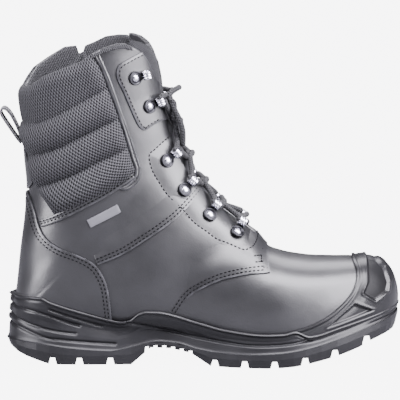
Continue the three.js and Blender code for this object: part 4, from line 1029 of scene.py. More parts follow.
def make_lap(name, line, depth, medial, high, fading=True, cell=1.1 * MM):
    """The lapped edge of a panel: full height at its seam, fading into the leather behind it or not."""
    line = smooth_line(line, 10)
    run = run_along(line)
    columns = max(8, round(run[-1] / cell))
    even = read_along(line, run, np.linspace(0, run[-1], columns + 1))
    tangent = directions(even)
    inward = np.column_stack([-tangent[:, 1], tangent[:, 0]])
    rows = max(4, round(abs(depth) / cell))
    bm, u, v = grid(columns, rows)
    station = np.round(u * columns).astype(int)
    xz = even[station] + inward[station] * (v * depth)[:, None]
    place, wrap = locate(xz, medial)
    relief = crease_relief(xz) * ramp(np.abs(wrap), 0.15, 0.5)
    if fading:
        from_end = np.minimum(u, 1 - u) * run[-1]
        kept = 1 - (1 - ramp(from_end, 0, LAP_END_FADE)) * ramp(v, 0.08, 0.5)
        rise = high * (1 - ramp(v, 0.2, 1.0)) * kept - 0.2 * MM * ramp(v, 0.3, 1.0) - 0.3 * MM * (1 - kept)
        rim = v * abs(depth)
    else:
        rim = np.minimum(v, 1 - v) * abs(depth)
        rise = high + STRIP_BEAD * bell(rim, 0.9 * MM, 0.7 * MM)
    store(bm, "rim", rim)
    set_points(bm, last_at(place, wrap, rise + relief))
    face_outward(bm, place, wrap)
    piece = finish_piece(name, bm, [PANEL_LEATHER])
    solidify(piece, high, 0.3 * MM)


def plain(height):
    """The same height all over a panel, a little lower at the rim."""
    return lambda rim, place, wrap: height - 0.25 * MM * (1 - ramp(rim, 0, 1.6 * MM))


def piped(height, bead):
    """A strip with a rounded cord along its rim."""
    def profile(rim, place, wrap):
        cord = bead * bell(rim, 1.2 * MM, 0.9 * MM)
        return height + cord - 0.3 * MM * (1 - ramp(rim, 0, 0.8 * MM))
    return profile


def below_collar(medial):
    def keep(place, wrap):
        point = last_xyz(place, wrap)
        return point[..., 2] < collar_height(point[..., 0], medial)
    return keep


def beside_throat(place, wrap):
    return np.abs(wrap) > throat_turn(place)


def above_cup(place, wrap):
    point = last_xyz(place, wrap)
    return point[..., 2] > edge_z(point[..., 0]) - 2 * MM


def both(*tests):
    def keep(place, wrap):
        kept = tests[0](place, wrap)
        for test in tests[1:]:
            kept = kept & test(place, wrap)
        return kept
    return keep


def grown(outline, distance):
    """A closed outline moved outward."""
    before, after = np.roll(outline, 1, axis=0), np.roll(outline, -1, axis=0)
    area = 0.5 * np.sum(outline[:, 0] * after[:, 1] - after[:, 0] * outline[:, 1])
    span = after - before
    length = np.linalg.norm(span, axis=1, keepdims=True)
    return outline + np.column_stack([span[:, 1], -span[:, 0]]) / length * np.sign(area) * distance


STAY_HEIGHT = HIGH - 0.1 * MM
STAY_SUNK = 0.1 * MM  # how far the eyestay's edge lies in the leather
LABEL_THICKNESS = 0.8 * MM


def part_smooth(outline, count, steps=6):
    """An outline with its first points drawn as a smooth curve and the rest left as they are."""
    return np.vstack([smooth_line(outline[:count], steps), outline[count:]])


def make_panels():
    panel("heel_counter_panel", part_smooth(COUNTER, 13), (10.5, 22.0, 0.9, 3.1), 1.3 * MM,
          plain(HIGH + 0.3 * MM), "heel_counter", extra_keep=above_cup)
    panel("backstay_strip", BACKSTAY, (18.0, 25.5, 1.3, 2.7), 1.0 * MM, plain(HIGH), "backstay")
    cuff_clear = grown(CUFF_OUTLINE, GAP)
    stay_edge = smooth_line(EYESTAY[:18], 6)

    def stay_height(rim, place, wrap):
        distance, _ = line_distance(stay_edge, side_view(place, wrap))
        return STAY_HEIGHT * ramp(distance, 0, 15 * MM) - STAY_SUNK
    piping = np.vstack([smooth_line(PIPING_OUTER[1:10], 6), PIPING_OUTER[10:], PIPING_OUTER[:1]])
    for medial, word, sign in SIDES:
        panel(f"hook_patch_{word}_panel", part_smooth(HOOK_PATCH, 14), (19.0, 27.0, sign * 0.1, sign * 0.95),
              1.0 * MM, plain(HIGH), f"hook_patch_{word}",
              extra_keep=both(below_collar(medial), beside_throat))
        panel(f"eyestay_{word}_panel", part_smooth(EYESTAY, 18), (9.0, 21.5, sign * 0.02, sign * 1.3),
              1.2 * MM, stay_height, f"eyestay_{word}", thickness=OVERLAY * 0.6, material=LEATHER,
              extra_keep=beside_throat)

        def piping_keep(place, wrap, medial=medial):
            return ~inside(cuff_clear, side_view(place, wrap)) & below_collar(medial)(place, wrap)
        panel(f"cuff_piping_{word}_strip", piping, (16.0, 27.0, sign * 0.3, sign * 1.4), 0.8 * MM,
              piped(HIGH, 0.7 * MM), f"cuff_piping_{word}", extra_keep=piping_keep)
    panel("ankle_label_tab", LABEL, (16.5, 22.0, -0.6, -1.7), 0.9 * MM, plain(GAP + LABEL_THICKNESS),
          "ankle_label", thickness=LABEL_THICKNESS, material=LABEL_FILM, slot="label_film", bevel=0.2 * MM)


# The padded cuff
PAD_BASE = 1.1 * MM
PAD_PEAK = PAD_THICKNESS + 1.2 * MM
PAD_RIM = 9 * MM  # how far from the cuff's rim the pads are at their full height
TOP_PAD_START = 0.42  # the top pad's crown is under the collar's edge
CUFF_SKIN = 1.2 * MM


def pad_share(xz):
    """Which pad a side-view point is on, and its share of the way down that pad."""
    heights = np.array([np.interp(xz[..., 0], line[:, 0], line[:, 1]) for line in CUFF_GROOVES])
    pad = np.clip((xz[..., 1][None] < heights).sum(axis=0) - 1, 0, len(CUFF_GROOVES) - 2)
    upper = np.take_along_axis(heights, pad[None], axis=0)[0]
    lower = np.take_along_axis(heights, pad[None] + 1, axis=0)[0]
    return pad, np.clip((upper - xz[..., 1]) / np.maximum(upper - lower, 1e-6), 0, 1)


def cuff_height(rim, place, wrap):
    """The pads' height over the last: round between their grooves and down at the cuff's rim."""
    pad, share = pad_share(side_view(place, wrap))
    share = np.where(pad == 0, TOP_PAD_START + (1 - TOP_PAD_START) * share, share)
    crown = np.maximum(0, 1 - np.abs(2 * share - 1) ** 2.1) ** 0.72
    edge = np.maximum(0, 1 - (1 - np.clip(rim / PAD_RIM, 0, 1)) ** 2) ** 0.5
    puffed = PAD_BASE + (PAD_PEAK - PAD_BASE) * crown * edge
    return GAP + puffed * (0.35 + 0.65 * edge)


def zip_distance(place, wrap):
    """How far points are from the zip, or far away on the lateral side."""
    distance, _ = line_distance(ZIP_LINE, side_view(place, wrap))
    return np.where(np.asarray(wrap) < 2, distance, 1.0)


CUFF_SMOOTH = part_smooth(CUFF_OUTLINE, 17, 5)


def cuff_keep(place, wrap):
    xz = side_view(place, wrap)
    top = np.where(np.asarray(wrap) < 2, collar_height(xz[..., 0], True), collar_height(xz[..., 0], False))
    off_zip = zip_distance(place, wrap) > ZIP_TAPE_WIDTH / 2 + 0.6 * MM
    return inside(CUFF_SMOOTH, xz) & (xz[..., 1] < top) & off_zip


def zip_side(place, wrap):
    """Ahead of the zip line in the side view."""
    xz = side_view(place, wrap)
    return xz[..., 0] > np.interp(xz[..., 1], ZIP_LINE[::-1, 1], ZIP_LINE[::-1, 0])


def make_cuff():
    for name, node_name, span, ahead in (
            ("padded_cuff_mesh", "padded_cuff", (15.5, 27.0, 0.5, 3.7), False),
            ("padded_cuff_front_mesh", "padded_cuff_front", (15.5, 27.0, 0.4, 1.8), True)):
        def keep(place, wrap, ahead=ahead):
            medial = np.asarray(wrap) < 2
            in_front = zip_side(place, wrap) & medial
            return cuff_keep(place, wrap) & (in_front if ahead else ~in_front)
        bm, place, wrap = sheet_on_last(span, 1.25 * MM, keep)
        rim = rim_distance(bm, last_xyz(place, wrap))
        store(bm, "rim", rim)
        set_points(bm, last_at(place, wrap, cuff_height(rim, place, wrap)))
        face_outward(bm, place, wrap)
        cloth_uv(bm, place, wrap)
        piece = finish_piece(name, bm, [CUFF_MESH], [node_name])
        solidify(piece, CUFF_SKIN, 0.3 * MM)


COLLAR_ROLL = 3.6 * MM  # radius of the rolled top edge
COLLAR_DROP = 62 * MM
COLLAR_FRONT = 0.62  # where round the leg the lining begins and ends
ROLL_SHARE = 0.35  # share of the lining's rows that go over the top edge
ROLL_MIDDLE = -0.4 * MM
LINING_PAD = 2.0 * MM
PLACE_STEP = 24 * MM  # about how far the leg goes down from one section to the next


def make_collar_lining():
    """The padded lining inside the collar, rolled over its top edge."""
    bm, u, v = grid(260, 60)
    wrap = COLLAR_FRONT + u * (4 - 2 * COLLAR_FRONT)
    medial = wrap < 2
    tops = np.where(
        medial,
        top_place(lambda p: np.where(medial, wrap, 1.0), lambda x: collar_height(x, True)),
        top_place(lambda p: np.where(medial, 3.0, wrap), lambda x: collar_height(x, False)))
    base, normal = last_xyz(tops, wrap), last_normal(tops, wrap)
    up = last_xyz(np.minimum(tops, TOP_PLACE), wrap) - last_xyz(tops - 0.3, wrap)
    up /= np.linalg.norm(up, axis=1, keepdims=True)
    turn = np.clip(v / ROLL_SHARE, 0, 1) * math.pi
    roll_out = ROLL_MIDDLE + COLLAR_ROLL * np.cos(turn)
    roll_up = COLLAR_ROLL * (np.sin(turn) - 1)
    fall = np.clip((v - ROLL_SHARE) / (1 - ROLL_SHARE), 0, 1)
    inner = ROLL_MIDDLE - COLLAR_ROLL - LINING_PAD * np.sin(math.pi * fall ** 0.8)
    rolled = v <= ROLL_SHARE
    out = np.where(rolled, roll_out, inner)
    drop = np.where(rolled, roll_up, -COLLAR_ROLL - fall * COLLAR_DROP)
    near = base + up * drop[:, None] + normal * out[:, None]
    low_place = tops - (-drop) / PLACE_STEP
    low = last_xyz(low_place, wrap) + last_normal(low_place, wrap) * out[:, None]
    share = ramp(-drop, 4 * MM, 16 * MM)[:, None]
    points = near * (1 - share) + low * share
    store(bm, "place", low_place)
    store(bm, "wrap", wrap)
    set_points(bm, points)
    bm.normal_update()
    cloth_uv(bm, low_place, wrap)
    inward = -last_normal(low_place, wrap)
    deep = fall > 0.3
    normals = np.array([vertex.normal[:] for vertex in bm.verts])
    if (normals[deep] * inward[deep]).sum() < 0:
        bmesh.ops.reverse_faces(bm, faces=bm.faces)
    piece = finish_piece("collar_lining", bm, [COLLAR_MESH])
    solidify(piece, 0.8 * MM)


ROLL_DEPTHS = (-2.5, -9.0)  # from a zip roll's top to its foot, in millimetres within the last
ROLL_RADII = (2.6, 3.4)
ZIP_ROLLS = [np.array(line) * MM for line in [
    [[58.0, 234.5], [56.4, 232.0], [53.0, 228.0], [48.5, 224.5], [43.0, 221.5], [36.0, 219.0]],
    [[59.6, 235.5], [61.0, 232.5], [63.0, 228.5], [64.0, 223.0]],
]]


def make_zip_rolls():
    """The padded edges that roll inward at the top of the zip."""
    parts = []
    for line in ZIP_ROLLS:
        route = smooth_line(line, 6)
        points, _ = on_last(route, True, np.linspace(*ROLL_DEPTHS, len(route)) * MM)
        parts.append(tube_mesh(points, np.linspace(*ROLL_RADII, len(points)) * MM, sides=16))
    bm = join_meshes(parts)
    cloth = bm.loops.layers.uv.new("cloth")
    cord = bm.loops.layers.uv["cord"]
    for face in bm.faces:
        for loop in face.loops:
            along, around = loop[cord].uv
            loop[cloth].uv = (along, around * 2 * math.pi * 3 * MM)
    piece = finish_piece("collar_zip_rolls", bm, [COLLAR_MESH])


# The tongue
TONGUE_PUFF = 0.5 * MM
TONGUE_WAVES = 2.2
TONGUE_EDGE_DROP = 1.2 * MM
TONGUE_SOFT_RIM = 5 * MM


def make_tongue():
    def keep(place, wrap):
        xz = side_view(place, wrap)
        return xz[..., 1] < np.interp(xz[..., 0], TONGUE_TOP[:, 0], TONGUE_TOP[:, 1])
    bm, u, v = grid(56, 190)
    place = TONGUE_START + v * (TOP_PLACE - TONGUE_START)
    edge = throat_turn(np.maximum(place, THROAT_START)) + TONGUE_OVERLAP
    wrap = (2 * u - 1) * edge
    store(bm, "place", place)
    store(bm, "wrap", wrap)
    place, wrap = cut_to(bm, keep)
    rim = rim_distance(bm, last_xyz(place, wrap))
    store(bm, "rim", rim)
    under = -(UPPER_WALL + GAP)
    puffs = TONGUE_PUFF * np.sin(place * TONGUE_WAVES) * (1 - ramp(np.abs(wrap), 0.2, 0.5))
    edge_drop = TONGUE_EDGE_DROP * (1 - ramp(rim, 0, TONGUE_SOFT_RIM))
    set_points(bm, last_at(place, wrap, under - edge_drop + puffs))
    face_outward(bm, place, wrap)
    cloth_uv(bm, place, wrap)
    piece = finish_piece("padded_tongue", bm, [TONGUE_CLOTH], ["tongue"])
    solidify(piece, TONGUE_THICKNESS - 0.4 * MM, 1.2 * MM, segments=3)


# The toe cap
CAP_REAR_DROP = 2.0 * MM
CAP_REAR_SLOPE = 12 * MM
RECESS_DEPTH = 1.8 * MM
# Outlines in the side view, in millimetres
CAP_RECESSES = [
    [(282.0, 79.5), (289.0, 78.0), (294.5, 72.0), (297.8, 62.0), (296.5, 55.5), (287.0, 49.5), (278.0, 55.5),
     (282.0, 64.0), (282.0, 74.0)],
    [(271.5, 48.5), (285.5, 42.5), (250.0, 31.0)],
]


def cap_height(rim, place, wrap):
    """The cap's height: low at the rear rim, with a bead and a groove along it and recesses in its side."""
    xz = side_view(place, wrap)
    height = GAP + TOE_CAP_THICKNESS - CAP_REAR_DROP * (1 - ramp(rim, 0, CAP_REAR_SLOPE))
    height += 0.55 * MM * bell(rim, 1.2 * MM, 0.8 * MM)
    height -= 0.40 * MM * bell(rim, 2.9 * MM, 0.7 * MM)
    for outline in CAP_RECESSES:
        closed = np.array(outline + outline[:1]) * MM
        distance, _ = line_distance(closed, xz)
        signed = np.where(inside(closed[:-1], xz), distance, -distance)
        bead = 0.45 * MM * bell(signed, -0.8 * MM, 0.7 * MM)
        height = height - RECESS_DEPTH * ramp(signed, -0.2 * MM, 1.3 * MM) + bead
    return height


def close_tip(bm, place):
    """A fan over the small opening where the last's sections begin, down to behind the cup's edge."""
    bm.verts.ensure_lookup_table()
    at_tip = {vertex for vertex, p in zip(bm.verts, place) if p < 1e-4}
    ring = [edge for edge in bm.edges if edge.is_boundary and at_tip.issuperset(edge.verts)]
    middle = sum((vertex.co for vertex in at_tip), Vector()) / len(at_tip)
    centre = bm.verts.new(middle - Vector((0, 0, 1.5 * MM)))
    for edge in ring:
        loop = edge.link_loops[0]
        bm.faces.new((loop.link_loop_next.vert, loop.vert, centre))


def make_toe_cap():
    rear = smooth_line(TOE_CAP_REAR, 8)
    past_toe, under_foot = SOLE_LENGTH + 0.04, -0.04
    outline = np.vstack([rear, [[rear[-1, 0], under_foot], [past_toe, under_foot], [past_toe, LEG_HEIGHT]]])
    bm, u, v = grid(250, 190)
    place = v * 9.2
    wrap = (2 * u - 1) * 2.0
    store(bm, "place", place)
    store(bm, "wrap", wrap)
    place, wrap = cut_to(bm, both(lambda p, w: inside(outline, side_view(p, w)), above_cup))
    rear_line = rear[rear[:, 1] > 0]
    distance, _ = line_distance(rear_line, side_view(place, wrap))
    store(bm, "rim", distance)
    set_points(bm, last_at(place, wrap, cap_height(distance, place, wrap)))
    face_outward(bm, place, wrap)
    close_tip(bm, place)
    bmesh.ops.remove_doubles(bm, verts=bm.verts, dist=1e-5)
    # Faces inside the upper recess get the darker rubber: painted shade in the recess.
    painted_shade_outline = np.array(CAP_RECESSES[0]) * MM
    for face in bm.faces:
        middle = face.calc_center_median()
        if inside(painted_shade_outline, np.array([[middle.x + ORIGIN_X, middle.z]]))[0]:
            face.material_index = 1
    piece = finish_piece("toe_cap_shell", bm, [CAP_RUBBER, RECESS_SHADE_RUBBER], ["toe_cap"])
    solidify(piece, TOE_CAP_THICKNESS, 0.5 * MM)


# The zip
TOOTH_PITCH = 1.5 * MM
TOOTH = np.array([2.9, 0.62, 0.7]) * MM  # half its width, length and height
TAPE_HEIGHT = GAP + 1.9 * MM
TEETH_HEIGHT = GAP + 2.4 * MM


def make_zip():
    middle_line = smooth_line(ZIP_LINE, 8)
    band = np.vstack([offset_line(middle_line, ZIP_TAPE_WIDTH / 2),
                      offset_line(middle_line, -ZIP_TAPE_WIDTH / 2)[::-1]])
    panel("zip_tape", band, (11.0, 27.0, 0.6, 1.75), 0.9 * MM, plain(TAPE_HEIGHT), "zip_strip",
          thickness=1.8 * MM, material=ZIP_TAPE, slot="dark_textile", bevel=0.0,
          extra_keep=both(below_collar(True), above_cup))
    points, normals = on_last(smooth_line(ZIP_LINE, 40), True, TEETH_HEIGHT)
    run = run_along(points)
    bm = bmesh.new()
    for middle in np.arange(2 * MM, run[-1] - 6 * MM, TOOTH_PITCH):
        point, ahead = read_along(points, run, middle), read_along(points, run, middle + MM)
        normal = read_along(normals, run, middle)
        along = (ahead - point) / np.linalg.norm(ahead - point)
        across = np.cross(normal, along)
        matrix = axes_matrix(across * TOOTH[0], along * TOOTH[1], normal * TOOTH[2], placed(point))
        bmesh.ops.create_uvsphere(bm, u_segments=8, v_segments=4, radius=1.0, matrix=matrix)
    finish_piece("zip_teeth", bm, [ZIP_TEETH])


# The pull loop
LOOP_ANCHOR = side([[0.0425, 0.606]])[0]
LOOP_REACH, LOOP_HEIGHT, LOOP_WIDTH = 17 * MM, 31 * MM, 20 * MM
LOOP_ROUTE = [
    [-0.02, 0.10], [-0.20, 0.215], [-0.49, 0.445], [-0.755, 0.665], [-0.93, 0.825], [-0.94, 0.92],
    [-0.85, 0.967], [-0.71, 0.95], [-0.52, 0.84], [-0.32, 0.645], [-0.15, 0.435], [-0.04, 0.22],
]


def make_pull_loop():
    route = smooth_line(np.array(LOOP_ROUTE) * [LOOP_REACH, LOOP_HEIGHT] + LOOP_ANCHOR, 8)
    rows = len(route) - 1
    bm, u, v = grid(rows, 10)
    station = np.round(u * rows).astype(int)
    across = (v - 0.5) * (LOOP_WIDTH - 0.8 * MM)
    points = np.column_stack([route[station][:, 0], across, route[station][:, 1]])
    set_points(bm, points)
    bmesh.ops.recalc_face_normals(bm, faces=bm.faces)
    piece = finish_piece("pull_loop_webbing", bm, [WEBBING], ["pull_loop"])
    solidify(piece, 1.6 * MM, offset=0)
    round_edges(piece, 0.5 * MM, 60)


# The lace hardware
RIVETS = side([
    [0.329, 0.861], [0.364, 0.759], [0.408, 0.567], [0.453, 0.462], [0.516, 0.374], [0.585, 0.312],
])
HOOKS = 2
RIVET_PLATE_RADIUS = 5.4 * MM
PLATE_THICKNESS = 0.9 * MM
RING_OUTER, RING_INNER, RING_WIDTH = 4.3 * MM, 2.7 * MM, 6.0 * MM
RING_REACH = 8.6 * MM
RING_LIFT = 0.3 * MM  # between the plate's foot and the ring
HOOK_ARC = (0.35 * math.pi, 1.85 * math.pi)
LOOP_ARC = (0.0, 2 * math.pi)
RIB_DEPTH = 0.45 * MM
# Turned shapes about the rivet's axis: radius and height in millimetres
RIVET_RING = np.array([(5.5, 0.3), (5.5, 1.2), (5.2, 1.7), (4.7, 1.8), (4.2, 1.5), (3.8, 0.9),
                       (3.0, 0.8)]) * MM
RIVET_DOME = np.array([(2.9, 0.6), (2.85, 1.1), (2.6, 1.6), (2.05, 2.0), (1.3, 2.25), (0.6, 2.36),
                       (0.001, 2.38)]) * MM


def turn_toward(place, turn, sign, distance):
    """The turn at a distance nearer to the ridge."""
    start = last_xyz(place, sign * turn)
    near, far = 0.0, turn
    for _ in range(30):
        middle = (near + far) / 2
        if np.linalg.norm(last_xyz(place, sign * middle) - start) > distance:
            near = middle
        else:
            far = middle
    return (near + far) / 2


def eyelet_frame(index, medial, opened):
    """Where an eyelet sits: its axes towards the throat, along the throat and out of the leather."""
    sign = 1 if medial else -1
    place, wrap = (float(value[0]) for value in locate(RIVETS[index], medial))
    turn = abs(wrap)
    base = last_at(place, wrap, OVERLAY + (1.6 if opened else 3) * GAP)
    normal = last_normal(place, wrap)
    ahead = last_xyz(place, sign * turn_toward(place, turn, sign, RING_REACH)) - last_xyz(place, wrap)
    toward = ahead - normal * (ahead @ normal)
    toward /= np.linalg.norm(toward)
    along = np.cross(normal, toward)
    return axes_matrix(toward, along, normal, placed(base))


def add_plate(bm):
    """A teardrop plate: a disc drawn out under the ring, with a rounded edge."""
    made = bmesh.ops.create_circle(bm, cap_ends=True, segments=40, radius=RIVET_PLATE_RADIUS)
    for vertex in made["verts"]:
        if vertex.co.x > 0.2 * MM:
            share = vertex.co.x / RIVET_PLATE_RADIUS
            vertex.co.x *= 1 + share
            vertex.co.y *= 1 - 0.42 * share
    faces = list({f for v in made["verts"] for f in v.link_faces})
    grown_up = bmesh.ops.extrude_face_region(bm, geom=faces)
    raised = [g for g in grown_up["geom"] if isinstance(g, bmesh.types.BMVert)]
    bmesh.ops.translate(bm, verts=raised, vec=(0, 0, PLATE_THICKNESS))
    top_edges = [e for v in raised for e in v.link_edges if e.other_vert(v) in raised]
    bmesh.ops.bevel(bm, geom=list(set(top_edges)), offset=0.35 * MM, affect="EDGES", segments=2, profile=0.5,
                    material=-1)


def revolve(bm, profile, segments=32):
    """A turned shape about the Z axis, from (radius, height) points."""
    verts = [bm.verts.new((r, 0, z)) for r, z in profile]
    edges = [bm.edges.new((a, b)) for a, b in zip(verts[:-1], verts[1:])]
    bmesh.ops.spin(bm, geom=verts + edges, cent=(0, 0, 0), axis=(0, 0, 1), angle=2 * math.pi, steps=segments,
                   use_merge=True, use_normal_flip=False, use_duplicate=False)


def set_new_faces(bm, before, index):
    for face in bm.faces:
        if face not in before:
            face.material_index = index


def make_eyelet(index, medial):
    opened = index < HOOKS
    word = "medial" if medial else "lateral"
    kind = "hook" if opened else "loop"
    bm = bmesh.new()
    add_plate(bm)
    set_new_faces(bm, set(), 1)
    for profile, material_index in ((RIVET_RING, 1), (RIVET_DOME, 0)):
        before = set(bm.faces)
        revolve(bm, profile)
        set_new_faces(bm, before, material_index)
    # The ring that the lace runs in: a wide strip bent round
    before = set(bm.faces)
    start, end = HOOK_ARC if opened else LOOP_ARC
    middle = (RING_OUTER + RING_INNER) / 2
    wall = RING_OUTER - RING_INNER
    strip, u, v = grid(30, 16)
    angle = start + u * (end - start)
    taper = 1 - 0.10 * np.cos(angle - math.pi / 2)
    ribs = middle - RIB_DEPTH * bell(np.abs(v - 0.5), 0.17, 0.05)
    for vertex, a, s, t, radius in zip(strip.verts, angle, v, taper, ribs):
        vertex.co = (RING_REACH + radius * math.cos(a), (s - 0.5) * RING_WIDTH * t,
                     RING_OUTER + RING_LIFT + radius * math.sin(a))
    bmesh.ops.remove_doubles(strip, verts=strip.verts, dist=1e-6)
    bmesh.ops.recalc_face_normals(strip, faces=strip.faces)
    bmesh.ops.solidify(strip, geom=strip.faces[:], thickness=wall * 0.75)
    add_mesh(bm, strip)
    set_new_faces(bm, before, 0)
    bmesh.ops.transform(bm, matrix=eyelet_frame(index, medial, opened), verts=bm.verts)
    bmesh.ops.recalc_face_normals(bm, faces=bm.faces)
    eyelet = f"lace_{kind}_{word}_{index + 1}"
    piece = finish_piece(f"{eyelet}_metal", bm, [BRIGHT_METAL, DARK_METAL], [eyelet])
    round_edges(piece, 0.22 * MM, 55)


# The laces
LACE_LIFT = GAP * 3 + OVERLAY + LACE_DIAMETER / 2
RING_EXIT = 3.2 * MM  # how far above and below a ring's middle the lace leaves it
UNDER_LIFT, OVER_LIFT = 0.2 * MM, 3.2 * MM  # of the strands that cross under and over
RAIL_REACH = RING_REACH + RING_OUTER + LACE_DIAMETER / 2 + 2 * GAP


def rail_spot(index, medial):
    sign = 1 if medial else -1
    place, wrap = (float(value[0]) for value in locate(RIVETS[index], medial))
    return place, turn_toward(place, abs(wrap), sign, RAIL_REACH)


def ring_points(index, medial):
    """Where the lace runs through an eyelet's ring: just below, in and just above it."""
    frame_matrix = eyelet_frame(index, medial, index < HOOKS)
    toward, along, normal, base = (np.array(frame_matrix.col[k][:3]) for k in range(4))
    middle = base + toward * RING_REACH + normal * (RING_OUTER + RING_LIFT) + np.array([ORIGIN_X, 0, 0])
    if along[2] < 0:
        along = -along
    return middle - along * RING_EXIT, middle, middle + along * RING_EXIT, toward, normal


def crossing(from_index, from_medial, lift):
    """A strand from above one ring over the throat to below the next ring on the other side."""
    _, _, leave, toward, normal = ring_points(from_index, from_medial)
    enter, _, _, far_toward, far_normal = ring_points(from_index - 1, not from_medial)
    sign = 1 if from_medial else -1
    wraps = np.array([0.16, 0.08, 0.0, -0.08, -0.16]) * sign
    share = 0.9 if from_index > HOOKS else 0.55
    apex_height = leave[2] + share * (enter[2] - leave[2])
    ridge = np.linspace(THROAT_START, TOP_PLACE, 400)
    place = np.interp(apex_height, last_xyz(ridge, 0.0)[:, 2], ridge)
    over = last_at(np.full(5, place), wraps, np.full(5, lift))
    return [leave, leave + toward * 3.5 * MM - normal * 1.0 * MM, *over,
            enter + far_toward * 3.5 * MM - far_normal * 1.0 * MM, enter]


def lace_route(start_medial):
    """One half of the lace from the lowest ring up to the second hook."""
    medial = start_medial
    route = []
    for index in (5, 4, 3, 2):
        _, middle, _, _, _ = ring_points(index, medial)
        route.append(middle)
        route.extend(crossing(index, medial, UNDER_LIFT if medial else OVER_LIFT))
        medial = not medial
    route.append(ring_points(1, medial)[1])
    return np.array(route)


def bottom_bar():
    """The lace's middle, straight across between the lowest rings."""
    below_outer, outer, _, outer_toward, _ = ring_points(5, False)
    below_inner, inner, _, inner_toward, _ = ring_points(5, True)
    place = rail_spot(5, False)[0]
    over = last_at(np.full(5, place), np.linspace(-0.14, 0.14, 5), np.full(5, 3.4 * MM))
    return np.array([outer, below_outer + outer_toward * 2 * MM, *over,
                     below_inner + inner_toward * 2 * MM, inner])


BOW_LIFTS = np.array([0.7, 1.2, 1.6, 1.6, 1.1, 0.4])
BOW_SPAN = [0.02, 1.0]
# Place above the second hook, height in diameters, share of the turn
LACE_END = np.array([
    [-2.15, 0.4, 1.0], [-1.3, 0.9, 0.95], [-0.6, 1.2, 0.95], [-0.15, 0.8, 1.0], [0.15, 0.7, 0.85],
    [0.22, 1.1, 0.6], [0.24, 1.7, 0.35]])


def knot_strands():
    """The strands tied between the second hooks: across the tongue, and down beside it to the first rings."""
    hook, other, ring = ring_points(1, False), ring_points(1, True), ring_points(2, False)
    top, bottom = rail_spot(1, False)[0], rail_spot(2, False)[0]
    over = last_at(np.full(5, top), np.linspace(-0.2, 0.2, 5), np.full(5, 4.2 * MM))
    across = [hook[1], hook[2] + hook[3] * 2 * MM, *over, other[2] + other[3] * 2 * MM, other[1]]
    drop = last_at(np.linspace(top - 0.2, bottom + 0.2, 6),
                   np.array([-0.22, -0.24, -0.27, -0.28, -0.28, -0.3]),
                   np.array([4, 4.6, 5.2, 5.2, 4.6, 4.0]) * MM)
    beside = [hook[0], *drop, ring[2]]
    return [np.array(across), np.array(beside)]


def make_laces():
    parts = []
    for points in (lace_route(False), lace_route(True), bottom_bar(), *knot_strands()):
        parts.append(cord_piece(points, LACE_DIAMETER / 2)[0])
    finish_piece("lace_crossings_cord", join_meshes(parts), [LACE], ["lace_crossings"])
    (p0, t0), (p1, t1) = rail_spot(1, False), rail_spot(2, False)
    mix = BOW_SPAN[0] + (BOW_SPAN[1] - BOW_SPAN[0]) * np.linspace(0, 1, len(BOW_LIFTS))
    bow = last_at(p0 + mix * (p1 - p0), -(t0 + mix * (t1 - t0)), LACE_LIFT + BOW_LIFTS * LACE_DIAMETER)
    end = last_at(p0 + LACE_END[:, 0], -t0 * LACE_END[:, 2], LACE_LIFT + LACE_END[:, 1] * LACE_DIAMETER)
    for name, node_name, points in (("lace_bow_cord", "lace_bow", bow), ("lace_end_cord", "lace_end", end)):
        bm, route = cord_piece(points, LACE_DIAMETER / 2)
        piece = finish_piece(name, bm, [LACE], [node_name])


# The sole
def plan_edge(place, sides, inset):
    """Points of the sole's plan at a place of its table, moved inward."""
    last = len(SOLE_PLAN) - 1
    step = 0.05

    def at(p):
        row = table_rows(SOLE_PLAN, np.clip(p, 0, last))
        y = np.where(sides, row[..., 2], row[..., 1]) * BALL_WIDTH
        return np.stack([row[..., 0] * SOLE_LENGTH, y], axis=-1)
    here = at(place)
    span = at(place + step) - at(place - step)
    span /= np.maximum(np.linalg.norm(span, axis=-1, keepdims=True), 1e-12)
    inward = np.where(sides, -1.0, 1.0)
    normal = np.stack([-inward * span[..., 1], inward * span[..., 0]], axis=-1)
    normal = np.where((place <= 0.001)[..., None], np.array([1.0, 0.0]), normal)
    normal = np.where((place >= last - 0.001)[..., None], np.array([-1.0, 0.0]), normal)
    return here + normal * np.asarray(inset)[..., None], normal


def last_extent(x, z, medial):
    """How far across the last reaches at side-view points, or nothing where they are off it."""
    xz = np.column_stack([x, z])
    result = np.full(len(x), np.nan)
    for is_medial in (False, True):
        here = medial == is_medial
        if not here.any():
            continue
        place, wrap = locate(xz[here], is_medial)
        point = last_xyz(place, wrap)
        on_it = np.linalg.norm(point[:, [0, 2]] - xz[here], axis=1) < 0.4 * MM
        result[here] = np.where(on_it, point[:, 1], np.nan)
    return result


CUP_WALL = 3.2 * MM
CUP_BULGE = 6 * MM  # how far the cup may stand out from the plan
CUP_LEAN = 5 * MM
LEDGE_WIDTH = 2 * MM
FOOT_OVERLAP = 0.2 * MM  # how far the cup's foot runs into the tread block
SIDE_GROOVE_DEPTH = 1.6 * MM
SIDE_GROOVE_WIDTH = 1.1 * MM
SIDE_GROOVES = [
    [[0.310, 0.630], [0.407, 0.517], [0.494, 0.415], [0.591, 0.340], [0.656, 0.328], [0.721, 0.357],
     [0.776, 0.415]],
    [[-0.020, 0.866], [0.083, 0.764], [0.154, 0.632], [0.190, 0.574]],
    [[-0.020, 0.796], [0.045, 0.610], [0.117, 0.500], [0.180, 0.455]],
    [[0.115, 0.810], [0.180, 0.680], [0.246, 0.560]],
    [[-0.020, 0.637], [0.095, 0.400], [0.150, 0.360], [0.280, 0.300]],
]
COARSE_COLUMNS = 150
COARSE_LEVELS = np.linspace(0, 1, 9)


